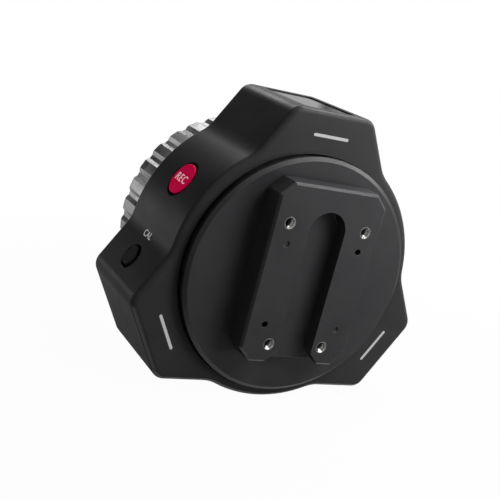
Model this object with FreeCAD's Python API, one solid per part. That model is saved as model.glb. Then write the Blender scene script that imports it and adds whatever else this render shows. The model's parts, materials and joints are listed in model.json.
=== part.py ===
import FreeCAD, Part
import math
import os
from FreeCAD import Vector

# Wireless follow focus hand unit: a three-lobed hand grip with a knurled focus wheel on its
# front and a screw-on mounting plate on its back.
# Millimetres. The wheel turns about the Y axis, the wheel faces -Y and the mounting face +Y.
# The origin is on the wheel's axis in the mounting face. +Z points to the display lobe.

# ---- clearances used throughout
press_fit = 0.01
running_fit = 0.02
screw_clearance = 0.1
head_clearance = 0.15
blind_gap = 0.3
past = 1.0
socket_share = 0.34
socket_depth = 0.75

# ---- mounting plate
plate_height = 8.0
plate_half_width = 18.3
plate_top = 30.3
plate_bottom = -24.3
plate_corner_cut = 4.0
plate_edge_bevel = 0.7
slot_half_width = 6.0
slot_top = 23.2
slot_depth = 4.9
slot_mouth_flare = 3.7
insert_upper_x = 13.0
insert_lower_x = 9.2
insert_z = 18.5
insert_radius = 1.8
insert_length = 6.0
insert_thread_radius = 1.25
insert_mouth_radius = 1.65
locating_circle = 35.0
locating_radius = 1.0
locating_depth = 4.0
dimple_depth = 0.4
dimple_floor_radius = 0.85
locating_angles = (135.0, -45.0)
dimple_angles = (45.0, 225.0)
plate_screw_angles = (69.5, 110.5, 234.1, 305.9)
plate_screw_inset = 5.9
plate_screw_radius = 1.25
plate_screw_head_radius = 2.25
plate_screw_head_height = 2.4
plate_screw_bite = 4.5

# ---- rear disc
disc_radius = 37.1
disc_bevel_width = 1.1
disc_bevel_depth = 0.8
disc_flange = 1.6
disc_undercut = 0.6
disc_proud = 3.3
disc_seat_depth = 2.0
disc_step = 6.3
disc_pocket_inset = 3.9
disc_floor = 3.3
disc_screw_radius = 1.0
disc_screw_head_radius = 1.9
disc_screw_head_height = 1.1
disc_screw_count = 6
disc_screw_bite = 2.2

# ---- housing
body_depth = 35.2
lobe_reach = 50.0
rim_width = 3.7
flank_inset = 4.25
lobe_corner = 4.5
flank_blend = 12.0
rear_edge = 1.8
front_edge = 1.0
wall = 2.2
rear_wall = 2.6
opening_clearance = 0.2
opening_chamfer = 0.35
seat_flange = 2.0
seat_clearance = 0.2
lobe_angles = (90.0, -30.0, 210.0)
display_lobe, button_lobe, port_lobe = lobe_angles
boss_inset = 9.5
boss_side_gap = 6.57
boss_radius = 2.6
boss_pilot_radius = 0.8
boss_pilot_depth = 10.0

# ---- white marker bars, set in the lobes
marker_inset = 7.2
marker_half_length = 6.05
marker_half_width = 0.45
marker_depth = 0.6
marker_proud = 0.03

# ---- display
window_width = 17.0
window_length = 28.0
window_corner = 2.0
window_thickness = 0.9
window_sunk = 0.3
window_gap = 0.3
window_tape = 0.2
window_tape_width = 1.3
display_thickness = 1.7
display_margin = 0.6
display_shift = 0.2
ribbon_half_width = 3.8
ribbon_thickness = 0.3
ribbon_length = 11.0
ribbon_drop = 7.0

# ---- front cover
cover_thickness = 3.0
cover_gap = 0.12
cover_screw_radius = 1.0
cover_screw_hole = 1.15
cover_screw_head_radius = 2.0
cover_screw_head_height = 1.2
tower_wall = 2.5
tower_reach = 12.0
tower_inner_reach = 3.6
index_gap = 2.2
index_inset = 4.5
index_half_width = 0.6

# ---- bearings
bearing_outer_radius = 12.0
bearing_bore_radius = 7.5
bearing_width = 5.0
race_thickness = 1.4
ball_radius = 1.2
ball_count = 12
ball_clearance = 0.05
cage_wall = 0.9
cage_width = 3.3
cage_clearance = 0.08
bearing_shoulder_step = 1.1
rear_bearing_setback = 0.4
tower_lip = 0.2

# ---- focus wheel
wheel_protrusion = 19.1
wheel_gap = 0.8
wheel_crest = 36.8
knurl_depth = 1.0
wheel_teeth = 32
crest_share = 0.44
valley_share = 0.20
wheel_edge = 0.6
rim_wall = 2.6
collar_wall = 1.4
collar_length = 3.6
marking_thickness = 1.4
marking_edge = 0.25
marking_fit = 0.04
marking_end_gap = 0.1
web_inner_radius = 20.0
web_thickness = 2.0
cap_depth = 1.7
cap_fit = 0.15
cap_dish_radius = 25.0
cap_dish_depth = 0.5
cap_edge = 0.4
spindle_flange_gap = 1.7
spindle_flange = 2.5
spindle_shoulder_step = 0.2
spindle_bore = 4.0
spindle_end_gap = 0.8
clip_overhang = 0.3
clip_thickness = 1.1
clip_groove_depth = 0.4
clip_gap_half_width = 1.5
wheel_screw_count = 6
wheel_screw_radius = 1.25
wheel_screw_head_radius = 2.3
wheel_screw_head_height = 1.2
felt_width = 1.8
felt_inset = 0.2
felt_thickness = 0.55

# ---- hard stops
stop_setback = 1.7
stop_pin_radius = 1.5
stop_pin_reach = 6.2
stop_post_radius = 2.5
stop_post_reach = 8.2
stop_post_swing = 158.0
stop_press_depth = 1.5

# ---- position gear and encoder
gear_module = 0.75
gear_teeth = 48
pinion_teeth = 12
pressure_angle = 20.0
profile_shift = 0.3
gear_backlash = 0.06
flank_steps = 4
gear_addendum = 0.95
gear_dedendum = 1.25
gear_bore_gap = 0.5
gear_face = 3.6
gear_screw_radius = 0.5
gear_screw_head_height = 0.7
gear_screw_bite = 2.4
gear_screw_count = 3
pinion_face = 3.0
pinion_end_gap = 0.4
encoder_angle = 158.0
encoder_half_side = 5.75
encoder_bushing_radius = 3.5
encoder_bushing_reach = 7.2
encoder_shaft_radius = 1.5
encoder_shaft_clearance = 0.06
encoder_shaft_depth = 6.5
encoder_nut_flats = 10.0
encoder_nut_height = 2.0
cover_hole_clearance = 0.15

# ---- boards and battery
board_thickness = 1.6
main_board_inset = 4.0
main_board_hole_gap = 2.5
standoff_height = 4.3
# blocks on the main board: centre x, centre z, half width, half height, thickness
radio_block = (-2.0, -27.5, 10.0, 6.5, 2.2)
chip_blocks = ((23.5, -4.5, 3.5, 3.5, 1.1), (-24.5, 0.0, 3.5, 4.0, 1.4), (0.0, 23.0, 6.0, 2.0, 1.8))
button_board_depth = 7.55
button_board_half_width = 6.5
button_board_margin = 4.4
button_board_end = 14.0
board_post_inset = 2.8
post_radius = 2.4
post_pilot_radius = 0.75
board_screw_head_radius = 1.8
board_screw_head_height = 1.1
board_screw_radius = 0.8
board_screw_bite = 3.2
switch_half_side = 3.0
switch_height = 1.5
switch_bore = 1.8
switch_bore_depth = 1.2
plunger_radius = 1.7
plunger_seat = 0.65
button_travel = 0.5
battery_half_width = 20.0
battery_top = 16.0
battery_bottom = -24.0
battery_thickness = 12.0
battery_corner = 3.0
tray_rim = 2.0
tray_thickness = 1.2
tray_wall = 1.4
tray_wall_height = 6.0
tray_fit = 0.3
tray_screw_count = 3
tray_screw_turn = 30.0
tray_screw_bite = 1.9

# ---- side buttons
button_shift = 0.5
rec_radius = 5.15
rec_flange_radius = 7.1
small_radius = 3.1
cal_inset = 9.4
cal_shift = -0.4
cal_flange_radius = 5.2
button_gap = 1.0
button_edge = 0.25
button_proud = 0.1
cal_proud = 0.35
button_flange = 1.0
flange_gap = 0.3
stem_radius = 2.5
button_mouth = 0.25
button_angle = 30.0
power_angle = 150.0

# ---- charging port
port_half_width = 4.47
port_half_height = 1.6
port_length = 7.3
port_shell = 0.3
port_corner = 1.5
port_back = 1.0
port_sunk = 0.3
port_fit = 0.12
port_tongue_half_width = 3.3
port_tongue_half_height = 0.35
port_tongue_gap = 1.2
port_board_half_width = 6.0
port_board_length = 9.0
port_board_thickness = 1.0
rail_depth = 1.6
rail_fit = 0.1
rail_cover = 1.0
antenna_inset = 4.5
antenna_length = 10.5
antenna_half_width = 9.0
antenna_thickness = 0.8

# ---- positions that follow from the sizes above
cos60 = 0.5
sin60 = math.sin(math.radians(60))
disc_face = -plate_height
rear_face = disc_face - disc_proud
front_face = rear_face - body_depth
disc_seat = rear_face - disc_seat_depth
flange_inner = disc_seat - seat_flange
plate_screw_seat = flange_inner + plate_screw_head_height + head_clearance
opening_radius = disc_radius + opening_clearance
disc_flat_radius = disc_radius - disc_bevel_width
disc_neck_radius = disc_radius - disc_undercut
disc_spigot_radius = disc_radius - disc_step
plate_screw_circle = disc_spigot_radius - plate_screw_inset
disc_pocket_radius = plate_screw_circle - disc_pocket_inset
disc_screw_circle = (disc_spigot_radius + opening_radius) / 2
body_middle = rear_face - body_depth / 2
arc_radius = opening_radius + rim_width
flank_reach = arc_radius - flank_inset
boss_reach = lobe_reach - boss_inset
marker_reach = lobe_reach - marker_inset
lobe_half_width = (flank_reach - lobe_reach * cos60) / sin60
flank_end = lobe_reach * sin60 - lobe_half_width * cos60
boss_offset = lobe_half_width - boss_side_gap
cal_along = cal_inset - flank_end
antenna_start = flank_end - antenna_inset - antenna_length
antenna_end = flank_end - antenna_inset
display_y = body_middle + display_shift
port_y = body_middle
button_y = body_middle + button_shift
cal_y = body_middle + cal_shift
round_button_top = arc_radius + button_proud
cal_top = flank_reach + cal_proud
inner_rear = rear_face - rear_wall
cover_back = front_face + cover_thickness
board_front = cover_back + standoff_height
board_rear = board_front + board_thickness
tower_front = front_face - tower_reach
tower_rear = cover_back + tower_inner_reach
wheel_front = front_face - wheel_protrusion
wheel_rear = front_face - wheel_gap
knurl_rear = wheel_rear - collar_length
cap_floor = wheel_front + cap_depth
spindle_front = cap_floor + web_thickness
spindle_back = spindle_front + spindle_flange
gear_screw_seat = spindle_front + gear_screw_head_height + screw_clearance
front_bearing_y = tower_front + tower_lip
rear_bearing_y = tower_rear - rear_bearing_setback - bearing_width
tower_radius = bearing_outer_radius + tower_wall
race_outer = bearing_outer_radius - race_thickness
race_inner = bearing_bore_radius + race_thickness
ball_circle = (race_outer + race_inner) / 2
bearing_shoulder = bearing_outer_radius - bearing_shoulder_step
spindle_shoulder = race_inner - spindle_shoulder_step
clip_radius = race_inner + clip_overhang
clip_groove_radius = bearing_bore_radius - clip_groove_depth
wheel_valley = wheel_crest - knurl_depth
rim_inner = wheel_valley - rim_wall
collar_outer = rim_inner + collar_wall
marking_radius = collar_outer + marking_thickness
index_reach = wheel_crest + index_gap
index_end = lobe_reach - index_inset
spindle_flange_radius = rim_inner - spindle_flange_gap
wheel_screw_circle = (web_inner_radius + spindle_flange_radius) / 2
stop_circle = spindle_flange_radius - stop_setback
stop_post_angles = (display_lobe - stop_post_swing, display_lobe + stop_post_swing)
felt_outer = collar_outer - felt_inset
gear_bore = tower_radius + gear_bore_gap
gear_root = gear_module * (gear_teeth / 2 - gear_dedendum - profile_shift)
gear_screw_circle = (gear_bore + gear_root) / 2
gear_distance = gear_module * (gear_teeth + pinion_teeth) / 2.0
gear_back = spindle_back + gear_face
button_board_inner = flank_reach - button_board_depth
button_board_outer = button_board_inner + board_thickness
button_board_start = cal_along - button_board_margin
middle_post = (cal_along + cal_flange_radius - rec_flange_radius) / 2
end_post = button_board_end - board_post_inset
button_board_posts = (middle_post, end_post)
power_board_posts = (-end_post, end_post)
main_board_hole = tower_radius + main_board_hole_gap
tray_radius = disc_screw_circle + tray_rim
switch_top = button_board_outer + switch_height
plunger_bottom = switch_top - plunger_seat
stem_bottom = switch_top + button_travel + flange_gap

along_y = Vector(0, 1, 0)


def radial(angle):
    return Vector(math.cos(math.radians(angle)), 0, math.sin(math.radians(angle)))


def tangent(angle):
    return Vector(-math.sin(math.radians(angle)), 0, math.cos(math.radians(angle)))


def spot(angle, reach, along=0.0, y=0.0):
    """A point at a distance from the wheel's axis, then sideways, at depth y."""
    return radial(angle) * reach + tangent(angle) * along + Vector(0, y, 0)


def rod(radius, start, end):
    return Part.makeCylinder(radius, (end - start).Length, start, end - start)


def rod_y(radius, y_from, y_to, x=0.0, z=0.0):
    return rod(radius, Vector(x, y_from, z), Vector(x, y_to, z))


def rod_at(radius, y_from, y_to, place):
    return rod_y(radius, y_from, y_to, place.x, place.z)


def ring_y(outer, inner, y_from, y_to):
    return rod_y(outer, y_from, y_to).cut(rod_y(inner, y_from, y_to))


def side_rod(radius, angle, reach_from, reach_to, along, y):
    return rod(radius, spot(angle, reach_from, along, y), spot(angle, reach_to, along, y))


def cone_y(radius_from, radius_to, y_from, y_to, x=0.0, z=0.0):
    height = abs(y_to - y_from)
    axis = Vector(0, 1 if y_to > y_from else -1, 0)
    return Part.makeCone(radius_from, radius_to, height, Vector(x, y_from, z), axis)


def side_cone(radius_from, radius_to, angle, reach_from, reach_to, along, y):
    start = spot(angle, reach_from, along, y)
    end = spot(angle, reach_to, along, y)
    return Part.makeCone(radius_from, radius_to, (end - start).Length, start, end - start)


def prism(points, sweep):
    return Part.Face(Part.makePolygon(points + points[:1])).extrude(sweep)


def box_xz(x_from, x_to, z_from, z_to, y_from, y_to):
    corners = [Vector(x, y_from, z) for x, z in
               ((x_from, z_from), (x_to, z_from), (x_to, z_to), (x_from, z_to))]
    return prism(corners, Vector(0, y_to - y_from, 0))


def side_box(angle, reach_from, reach_to, along_from, along_to, y_from, y_to):
    corners = [spot(angle, reach_from, along, y) for along, y in
               ((along_from, y_from), (along_to, y_from), (along_to, y_to), (along_from, y_to))]
    return prism(corners, radial(angle) * (reach_to - reach_from))


def rounded(points, radius, sweep):
    """A prism over a polygon whose corners are rounded."""
    edges = []
    starts = []
    ends = []
    count = len(points)
    for i in range(count):
        corner = points[i]
        before = (points[i - 1] - corner).normalize()
        after = (points[(i + 1) % count] - corner).normalize()
        half = math.acos(max(-1.0, min(1.0, before.dot(after)))) / 2.0
        reach = radius / math.tan(half)
        middle = (before + after).normalize()
        start = corner + before * reach
        end = corner + after * reach
        centre = corner + middle * (radius / math.sin(half))
        edges.append(Part.Arc(start, centre - middle * radius, end).toShape())
        starts.append(start)
        ends.append(end)
    for i in range(count):
        edges.append(Part.LineSegment(ends[i], starts[(i + 1) % count]).toShape())
    wire = Part.Wire(Part.__sortEdges__(edges))
    return Part.Face(wire).extrude(sweep)


def rounded_xz(x_half, z_from, z_to, radius, y_from, y_to):
    corners = [Vector(x, y_from, z) for x, z in
               ((-x_half, z_from), (x_half, z_from), (x_half, z_to), (-x_half, z_to))]
    return rounded(corners, radius, Vector(0, y_to - y_from, 0))


def side_rounded(angle, reach_from, reach_to, along_half, y_centre, y_half, radius, along=0.0):
    corners = [spot(angle, reach_from, along + a, y_centre + y) for a, y in
               ((-along_half, -y_half), (along_half, -y_half),
                (along_half, y_half), (-along_half, y_half))]
    return rounded(corners, radius, radial(angle) * (reach_to - reach_from))


def edges_at_y(shape, y):
    flat = 1e-6
    return [e for e in shape.Edges
            if abs(e.BoundBox.YMin - y) < flat and abs(e.BoundBox.YMax - y) < flat]


def lobed_wire(inset, y):
    """The grip's outline: three flat-ended lobes on a circle, drawn in by inset all round."""
    reach = lobe_reach - inset
    flank = flank_reach - inset
    arc = arc_radius - inset
    corner = lobe_corner - inset
    blend = flank_blend + inset
    half_flat = (flank - reach * cos60) / sin60
    cut = corner * math.tan(math.radians(30))
    corner_bulge = corner / math.cos(math.radians(30)) - corner
    blend_along = math.sqrt((arc + blend) ** 2 - (flank + blend) ** 2)
    share = arc / (arc + blend)
    edges = []
    for lobe in lobe_angles:
        side = lobe + 60.0

        def on_side(away, along):
            return spot(side, away, along, y)

        def blend_arc(sign):
            centre = on_side(flank + blend, sign * blend_along)
            on_line = on_side(flank, sign * blend_along)
            on_arc = on_side((flank + blend) * share, sign * blend_along * share)
            middle = ((on_line - centre).normalize() + (on_arc - centre).normalize()).normalize()
            return Part.Arc(on_line, centre + middle * blend, on_arc).toShape(), on_line, on_arc

        def corner_arc(angle, sign):
            sharp = spot(angle, reach, sign * half_flat, y)
            on_flat = spot(angle, reach, sign * (half_flat - cut), y)
            flank_way = radial(angle) * -sin60 + tangent(angle) * (sign * cos60)
            on_flank = sharp + flank_way * cut
            bulge = radial(angle + sign * 30.0) * corner_bulge
            return Part.Arc(on_flat, sharp - bulge, on_flank).toShape(), on_flat, on_flank

        start_corner, flat_end, flank_start = corner_arc(lobe, 1)
        first_blend, line_start, arc_start = blend_arc(-1)
        second_blend, line_end, arc_end = blend_arc(1)
        end_corner, flat_start, flank_end = corner_arc(lobe + 120.0, -1)
        edges.append(Part.LineSegment(spot(lobe, reach, cut - half_flat, y), flat_end).toShape())
        edges.append(start_corner)
        edges.append(Part.LineSegment(flank_start, line_start).toShape())
        edges.append(first_blend)
        edges.append(Part.Arc(arc_start, on_side(arc, 0), arc_end).toShape())
        edges.append(second_blend)
        edges.append(Part.LineSegment(line_end, flank_end).toShape())
        edges.append(end_corner)
    return Part.Wire(Part.__sortEdges__(edges))


def lobed(inset, y_from, y_to):
    return Part.Face(lobed_wire(inset, y_from)).extrude(Vector(0, y_to - y_from, 0))


def boss_spots():
    return [spot(lobe, boss_reach, side * boss_offset) for lobe in lobe_angles for side in (-1, 1)]


def ring_spots(circle, count, first=0.0):
    return [spot(first + 360.0 * i / count, circle) for i in range(count)]


def plate_screw_places():
    return [spot(angle, plate_screw_circle) for angle in plate_screw_angles]


def insert_places():
    rows = ((insert_upper_x, insert_z), (insert_lower_x, -insert_z))
    return [Vector(side * x, 0, z) for x, z in rows for side in (-1, 1)]


# ---- mounting plate and rear disc

def plate_outline(inset, y):
    half = plate_half_width - inset
    top = plate_top - inset
    bottom = plate_bottom + inset
    cut = plate_corner_cut - inset * (2 - math.sqrt(2))
    return [Vector(x, y, z) for x, z in (
        (half, bottom + cut), (half, top - cut), (half - cut, top), (cut - half, top),
        (-half, top - cut), (-half, bottom + cut), (cut - half, bottom), (half - cut, bottom))]


def mount_plate():
    straight = prism(plate_outline(0, disc_face), Vector(0, plate_height - plate_edge_bevel, 0))
    base = plate_outline(0, -plate_edge_bevel)
    top = plate_outline(plate_edge_bevel, 0)
    rings = [Part.makePolygon(points + points[:1]) for points in (base, top)]
    body = straight.fuse(Part.makeLoft(rings, True))
    arc_centre = slot_top - slot_half_width
    slot = box_xz(-slot_half_width, slot_half_width, plate_bottom - past, arc_centre,
                  -slot_depth, past)
    slot = slot.fuse(rod_y(slot_half_width, -slot_depth, past, 0, arc_centre))
    mouth_half = slot_half_width + slot_mouth_flare + past
    mouth = prism([Vector(x, -slot_depth, z) for x, z in (
        (-mouth_half, plate_bottom - past), (mouth_half, plate_bottom - past),
        (0, plate_bottom - past + mouth_half))], Vector(0, slot_depth + past, 0))
    slot = slot.fuse(mouth)
    body = body.cut(slot)
    seats = [rod_at(insert_radius + press_fit, -insert_length - blind_gap, past, p)
             for p in insert_places()]
    locating = [rod_at(locating_radius, -locating_depth, past, spot(a, locating_circle / 2))
                for a in locating_angles]
    dimples = []
    for a in dimple_angles:
        p = spot(a, locating_circle / 2)
        dimples.append(cone_y(locating_radius, dimple_floor_radius, 0, -dimple_depth, p.x, p.z))
    tap_end = disc_face + plate_screw_bite + blind_gap
    taps = [rod_at(plate_screw_radius + press_fit, disc_face - past, tap_end, p)
            for p in plate_screw_places()]
    return body.cut(seats + locating + dimples + taps).removeSplitter()


def thread_inserts():
    solids = []
    chamfer = insert_mouth_radius - insert_thread_radius
    for p in insert_places():
        body = rod_at(insert_radius, -insert_length, 0, p)
        bore = rod_at(insert_thread_radius, -insert_length - past, past, p)
        mouth = cone_y(insert_mouth_radius, insert_thread_radius, 0, -chamfer, p.x, p.z)
        solids.append(body.cut([bore, mouth]))
    return solids


def rear_disc():
    flange_back = disc_face - disc_flange
    bevel_back = disc_face - disc_bevel_depth
    body = cone_y(disc_flat_radius, disc_radius, disc_face, bevel_back)
    body = body.fuse(rod_y(disc_radius, bevel_back, flange_back))
    body = body.fuse(rod_y(disc_neck_radius, flange_back, disc_seat))
    body = body.fuse(rod_y(disc_spigot_radius, disc_seat, flange_inner))
    body = body.cut(rod_y(disc_pocket_radius, disc_face - disc_floor, flange_inner - past))
    cuts = []
    for p in plate_screw_places():
        cuts.append(rod_at(plate_screw_radius + screw_clearance, disc_face + past,
                           flange_inner - past, p))
        cuts.append(rod_at(plate_screw_head_radius + head_clearance, flange_inner - past,
                           plate_screw_seat, p))
    for p in ring_spots(disc_screw_circle, disc_screw_count):
        tap_end = disc_seat + disc_screw_bite + blind_gap
        cuts.append(rod_at(disc_screw_radius + press_fit, disc_seat - past, tap_end, p))
    return body.cut(cuts).removeSplitter()


def plate_screws():
    solids = []
    head_front = plate_screw_seat - plate_screw_head_height
    for p in plate_screw_places():
        head = rod_at(plate_screw_head_radius, head_front, plate_screw_seat, p)
        shank = rod_at(plate_screw_radius, plate_screw_seat, disc_face + plate_screw_bite, p)
        drive = hex_socket(p, head_front, plate_screw_head_radius)
        solids.append(head.fuse(shank).cut(drive).removeSplitter())
    return solids


def hex_socket(place, mouth_y, head_radius):
    """A hexagon drive cut into a screw head whose outer face is at mouth_y and faces -Y."""
    centre = Vector(place.x, mouth_y, place.z)
    corners = [centre + radial(60.0 * i) * (head_radius * socket_share) for i in range(6)]
    return prism(corners, Vector(0, socket_depth, 0))


def disc_screws():
    solids = []
    for p in ring_spots(disc_screw_circle, disc_screw_count):
        cone_end = flange_inner + disc_screw_head_height
        head = cone_y(disc_screw_head_radius, disc_screw_radius, flange_inner, cone_end, p.x, p.z)
        shank = rod_at(disc_screw_radius, cone_end, disc_seat + disc_screw_bite, p)
        socket = hex_socket(p, flange_inner, disc_screw_head_radius)
        solids.append(head.fuse(shank).cut(socket).removeSplitter())
    return solids


# ---- housing

def marker_shape(angle, y_from, y_to):
    half = marker_half_length - marker_half_width
    corners = [spot(angle, marker_reach + r, a, y_from) for r, a in (
        (-marker_half_width, -half), (marker_half_width, -half),
        (marker_half_width, half), (-marker_half_width, half))]
    bar = prism(corners, Vector(0, y_to - y_from, 0))
    for side in (-1, 1):
        bar = bar.fuse(rod_at(marker_half_width, y_from, y_to, spot(angle, marker_reach, side * half)))
    return bar.removeSplitter()


def marker_bars():
    floor = rear_face - marker_depth
    return [marker_shape(a, floor, rear_face + marker_proud) for a in lobe_angles]


def button_hole(angle, radius, surface, along, y):
    hole = side_rod(radius + button_gap, angle, button_board_outer, surface + past, along, y)
    mouth = side_cone(radius + button_gap, radius + button_gap + button_mouth + past, angle,
                      surface - button_mouth, surface + past, along, y)
    return hole.fuse(mouth)


def board_posts(angle, alongs):
    return [side_rod(post_radius, angle, button_board_outer, arc_radius, a, button_y)
            for a in alongs]


def post_pilots(angle, alongs):
    return [side_rod(post_pilot_radius, angle, button_board_outer - past,
                     button_board_outer + board_screw_bite, a, button_y) for a in alongs]


def port_opening():
    return side_rounded(port_lobe, lobe_reach - wall - past, lobe_reach + past,
                        port_half_height + port_fit, port_y, port_half_width + port_fit,
                        port_corner + port_fit)


def port_rails():
    """Two grooved rails inside the port lobe that hold the long edges of the port's board."""
    solids = []
    board_low = -port_half_height - port_board_thickness
    reach_from = lobe_reach - wall - port_board_length
    for side in (-1, 1):
        edge = port_y + side * (port_board_half_width + rail_fit)
        outer = edge + side * rail_depth
        inner = edge - side * rail_depth
        low, high = sorted((outer, inner))
        rail = side_box(port_lobe, reach_from, lobe_reach - wall / 2, board_low - rail_depth,
                        -port_half_height + rail_cover, low, high)
        low, high = sorted((edge, inner - side))
        groove = side_box(port_lobe, reach_from - past, lobe_reach, board_low - rail_fit,
                          -port_half_height + rail_fit, low, high)
        low, high = sorted((port_y, port_y + side * (port_half_width + rail_fit * 2)))
        shell_room = side_box(port_lobe, reach_from - past, lobe_reach, -port_half_height,
                              port_half_height, low, high)
        solids.append(rail.cut([groove, shell_room]))
    return solids


def main_housing():
    outer = lobed(0, rear_face, front_face)
    outer = outer.makeFillet(rear_edge, edges_at_y(outer, rear_face))
    outer = outer.makeFillet(front_edge, edges_at_y(outer, front_face))
    shell = outer.cut(lobed(wall, inner_rear, front_face - past))
    arc_inner = arc_radius - wall / 2
    shell = shell.fuse(rod_y(arc_inner, rear_face - rear_wall / 2, flange_inner))
    additions = [rod_at(boss_radius, inner_rear, board_rear, p) for p in boss_spots()]
    within_walls = lobed(wall / 2, inner_rear, front_face)
    posts = board_posts(button_angle, button_board_posts)
    posts += board_posts(power_angle, power_board_posts)
    additions += [post.common(within_walls) for post in posts]
    additions += port_rails()
    shell = shell.fuse(additions)
    chamfer_back = rear_face - opening_chamfer
    cuts = [rod_y(opening_radius, rear_face + past, disc_seat),
            cone_y(opening_radius + opening_chamfer, opening_radius, rear_face, chamfer_back),
            rod_y(disc_spigot_radius + seat_clearance, rear_face + past, flange_inner - past)]
    for p in boss_spots():
        cuts.append(rod_at(boss_pilot_radius, board_rear - past, board_rear + boss_pilot_depth, p))
    for p in ring_spots(disc_screw_circle, disc_screw_count):
        cone_end = flange_inner + disc_screw_head_height
        cuts.append(rod_at(disc_screw_radius + screw_clearance, rear_face, flange_inner - past, p))
        cuts.append(cone_y(disc_screw_head_radius + screw_clearance,
                           disc_screw_radius + screw_clearance, flange_inner, cone_end, p.x, p.z))
    for p in ring_spots(disc_screw_circle, tray_screw_count, tray_screw_turn):
        cuts.append(rod_at(board_screw_radius + press_fit, rear_face, flange_inner - past, p))
    for angle in lobe_angles:
        cuts.append(marker_shape(angle, rear_face - marker_depth, rear_face + past))
    cuts += post_pilots(button_angle, button_board_posts)
    cuts += post_pilots(power_angle, power_board_posts)
    cuts.append(button_hole(button_angle, rec_radius, arc_radius, 0, button_y))
    cuts.append(button_hole(button_angle, small_radius, flank_reach, cal_along, cal_y))
    cuts.append(button_hole(power_angle, small_radius, arc_radius, 0, button_y))
    cuts.append(port_opening())
    cuts += window_cuts()
    return shell.cut(cuts).removeSplitter()


# ---- display

def window_cuts():
    glass_floor = lobe_reach - window_sunk - window_thickness - window_tape
    pocket = side_rounded(display_lobe, glass_floor, lobe_reach + past, window_width / 2 + window_gap,
                          display_y, window_length / 2 + window_gap, window_corner + window_gap)
    opening = side_rounded(display_lobe, lobe_reach - wall - past, lobe_reach,
                           window_width / 2 - window_tape_width, display_y,
                           window_length / 2 - window_tape_width, window_corner)
    return [pocket, opening]


def display_window():
    top = lobe_reach - window_sunk
    return side_rounded(display_lobe, top - window_thickness, top, window_width / 2,
                        display_y, window_length / 2, window_corner)


def window_adhesive():
    top = lobe_reach - window_sunk - window_thickness
    outer = side_rounded(display_lobe, top - window_tape, top, window_width / 2,
                         display_y, window_length / 2, window_corner)
    inner = side_rounded(display_lobe, top - window_tape - past, top + past,
                         window_width / 2 - window_tape_width, display_y,
                         window_length / 2 - window_tape_width, window_corner)
    return outer.cut(inner)


def display_module():
    top = lobe_reach - wall
    return side_rounded(display_lobe, top - display_thickness, top,
                        window_width / 2 - display_margin, display_y,
                        window_length / 2 - display_margin, window_corner / 2)


def display_ribbon():
    """The flat cable that lies under the display, bends and ends on the main board."""
    top = lobe_reach - wall - display_thickness
    under_display = box_xz(-ribbon_half_width, ribbon_half_width, top - ribbon_thickness, top,
                           board_rear, board_rear + ribbon_length)
    on_board = box_xz(-ribbon_half_width, ribbon_half_width, top - ribbon_drop, top,
                      board_rear, board_rear + ribbon_thickness)
    return under_display.fuse(on_board).removeSplitter()


# ---- front cover and bearings

def front_cover():
    plate = lobed(wall + cover_gap, cover_back, front_face)
    parts = [rod_y(tower_radius, tower_rear, tower_front)]
    parts += [rod_at(boss_radius, cover_back, board_front, p) for p in boss_spots()]
    body = plate.fuse(parts)
    seat_radius = bearing_outer_radius + running_fit
    cuts = [rod_y(bearing_shoulder, tower_rear + past, tower_front - past),
            rod_y(seat_radius, tower_front - past, front_bearing_y + bearing_width),
            rod_y(seat_radius, rear_bearing_y, tower_rear + past)]
    for p in boss_spots():
        cuts.append(rod_at(cover_screw_hole, front_face - past, board_front + past, p))
        cuts.append(cone_y(cover_screw_head_radius + head_clearance, cover_screw_hole, front_face,
                           front_face + cover_screw_head_height, p.x, p.z))
    gear_spot = spot(encoder_angle, gear_distance)
    cuts.append(rod_at(encoder_bushing_radius + cover_hole_clearance, front_face - past,
                       cover_back + past, gear_spot))
    for angle in stop_post_angles:
        cuts.append(rod_at(stop_post_radius + press_fit, front_face - past,
                           front_face + stop_press_depth, spot(angle, stop_circle)))
    cuts.append(index_shape(front_face + marker_depth, front_face - past))
    return body.cut(cuts).removeSplitter()


def index_shape(y_from, y_to):
    return box_xz(-index_half_width, index_half_width, index_reach, index_end, y_from, y_to)


def index_mark():
    return index_shape(front_face + marker_depth, front_face - marker_proud)


def cover_screws():
    solids = []
    for p in boss_spots():
        cone_end = front_face + cover_screw_head_height
        head = cone_y(cover_screw_head_radius, cover_screw_radius, front_face, cone_end, p.x, p.z)
        tip = board_rear + boss_pilot_depth - blind_gap
        upper = rod_at(cover_screw_radius, cone_end, board_rear, p)
        lower = rod_at(boss_pilot_radius - press_fit, board_rear, tip, p)
        socket = hex_socket(p, front_face, cover_screw_head_radius)
        solids.append(head.fuse([upper, lower]).cut(socket).removeSplitter())
    return solids


def race_groove(y):
    return Part.makeTorus(ball_circle, ball_radius + ball_clearance, Vector(0, y, 0), along_y)


def bearing_fronts():
    return (front_bearing_y, rear_bearing_y)


def bearing_rings(outer, inner):
    solids = []
    for y in bearing_fronts():
        ring = ring_y(outer, inner, y, y + bearing_width)
        solids.append(ring.cut(race_groove(y + bearing_width / 2)))
    return solids


def bearing_outer_rings():
    return bearing_rings(bearing_outer_radius, race_outer)


def bearing_inner_rings():
    return bearing_rings(race_inner, bearing_bore_radius)


def bearing_balls():
    return [Part.makeSphere(ball_radius, spot(360.0 * i / ball_count, ball_circle, 0,
                                              y + bearing_width / 2))
            for y in bearing_fronts() for i in range(ball_count)]


def bearing_cages():
    solids = []
    outer = ball_circle + cage_wall / 2
    inner = ball_circle - cage_wall / 2
    for y in bearing_fronts():
        middle = y + bearing_width / 2
        ring = ring_y(outer, inner, middle - cage_width / 2, middle + cage_width / 2)
        pockets = [side_rod(ball_radius + cage_clearance, 360.0 * i / ball_count,
                            inner - past, outer + past, 0, middle) for i in range(ball_count)]
        solids.append(ring.cut(pockets))
    return solids


def felt_ring():
    return ring_y(felt_outer, felt_outer - felt_width, front_face, front_face - felt_thickness)


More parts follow.
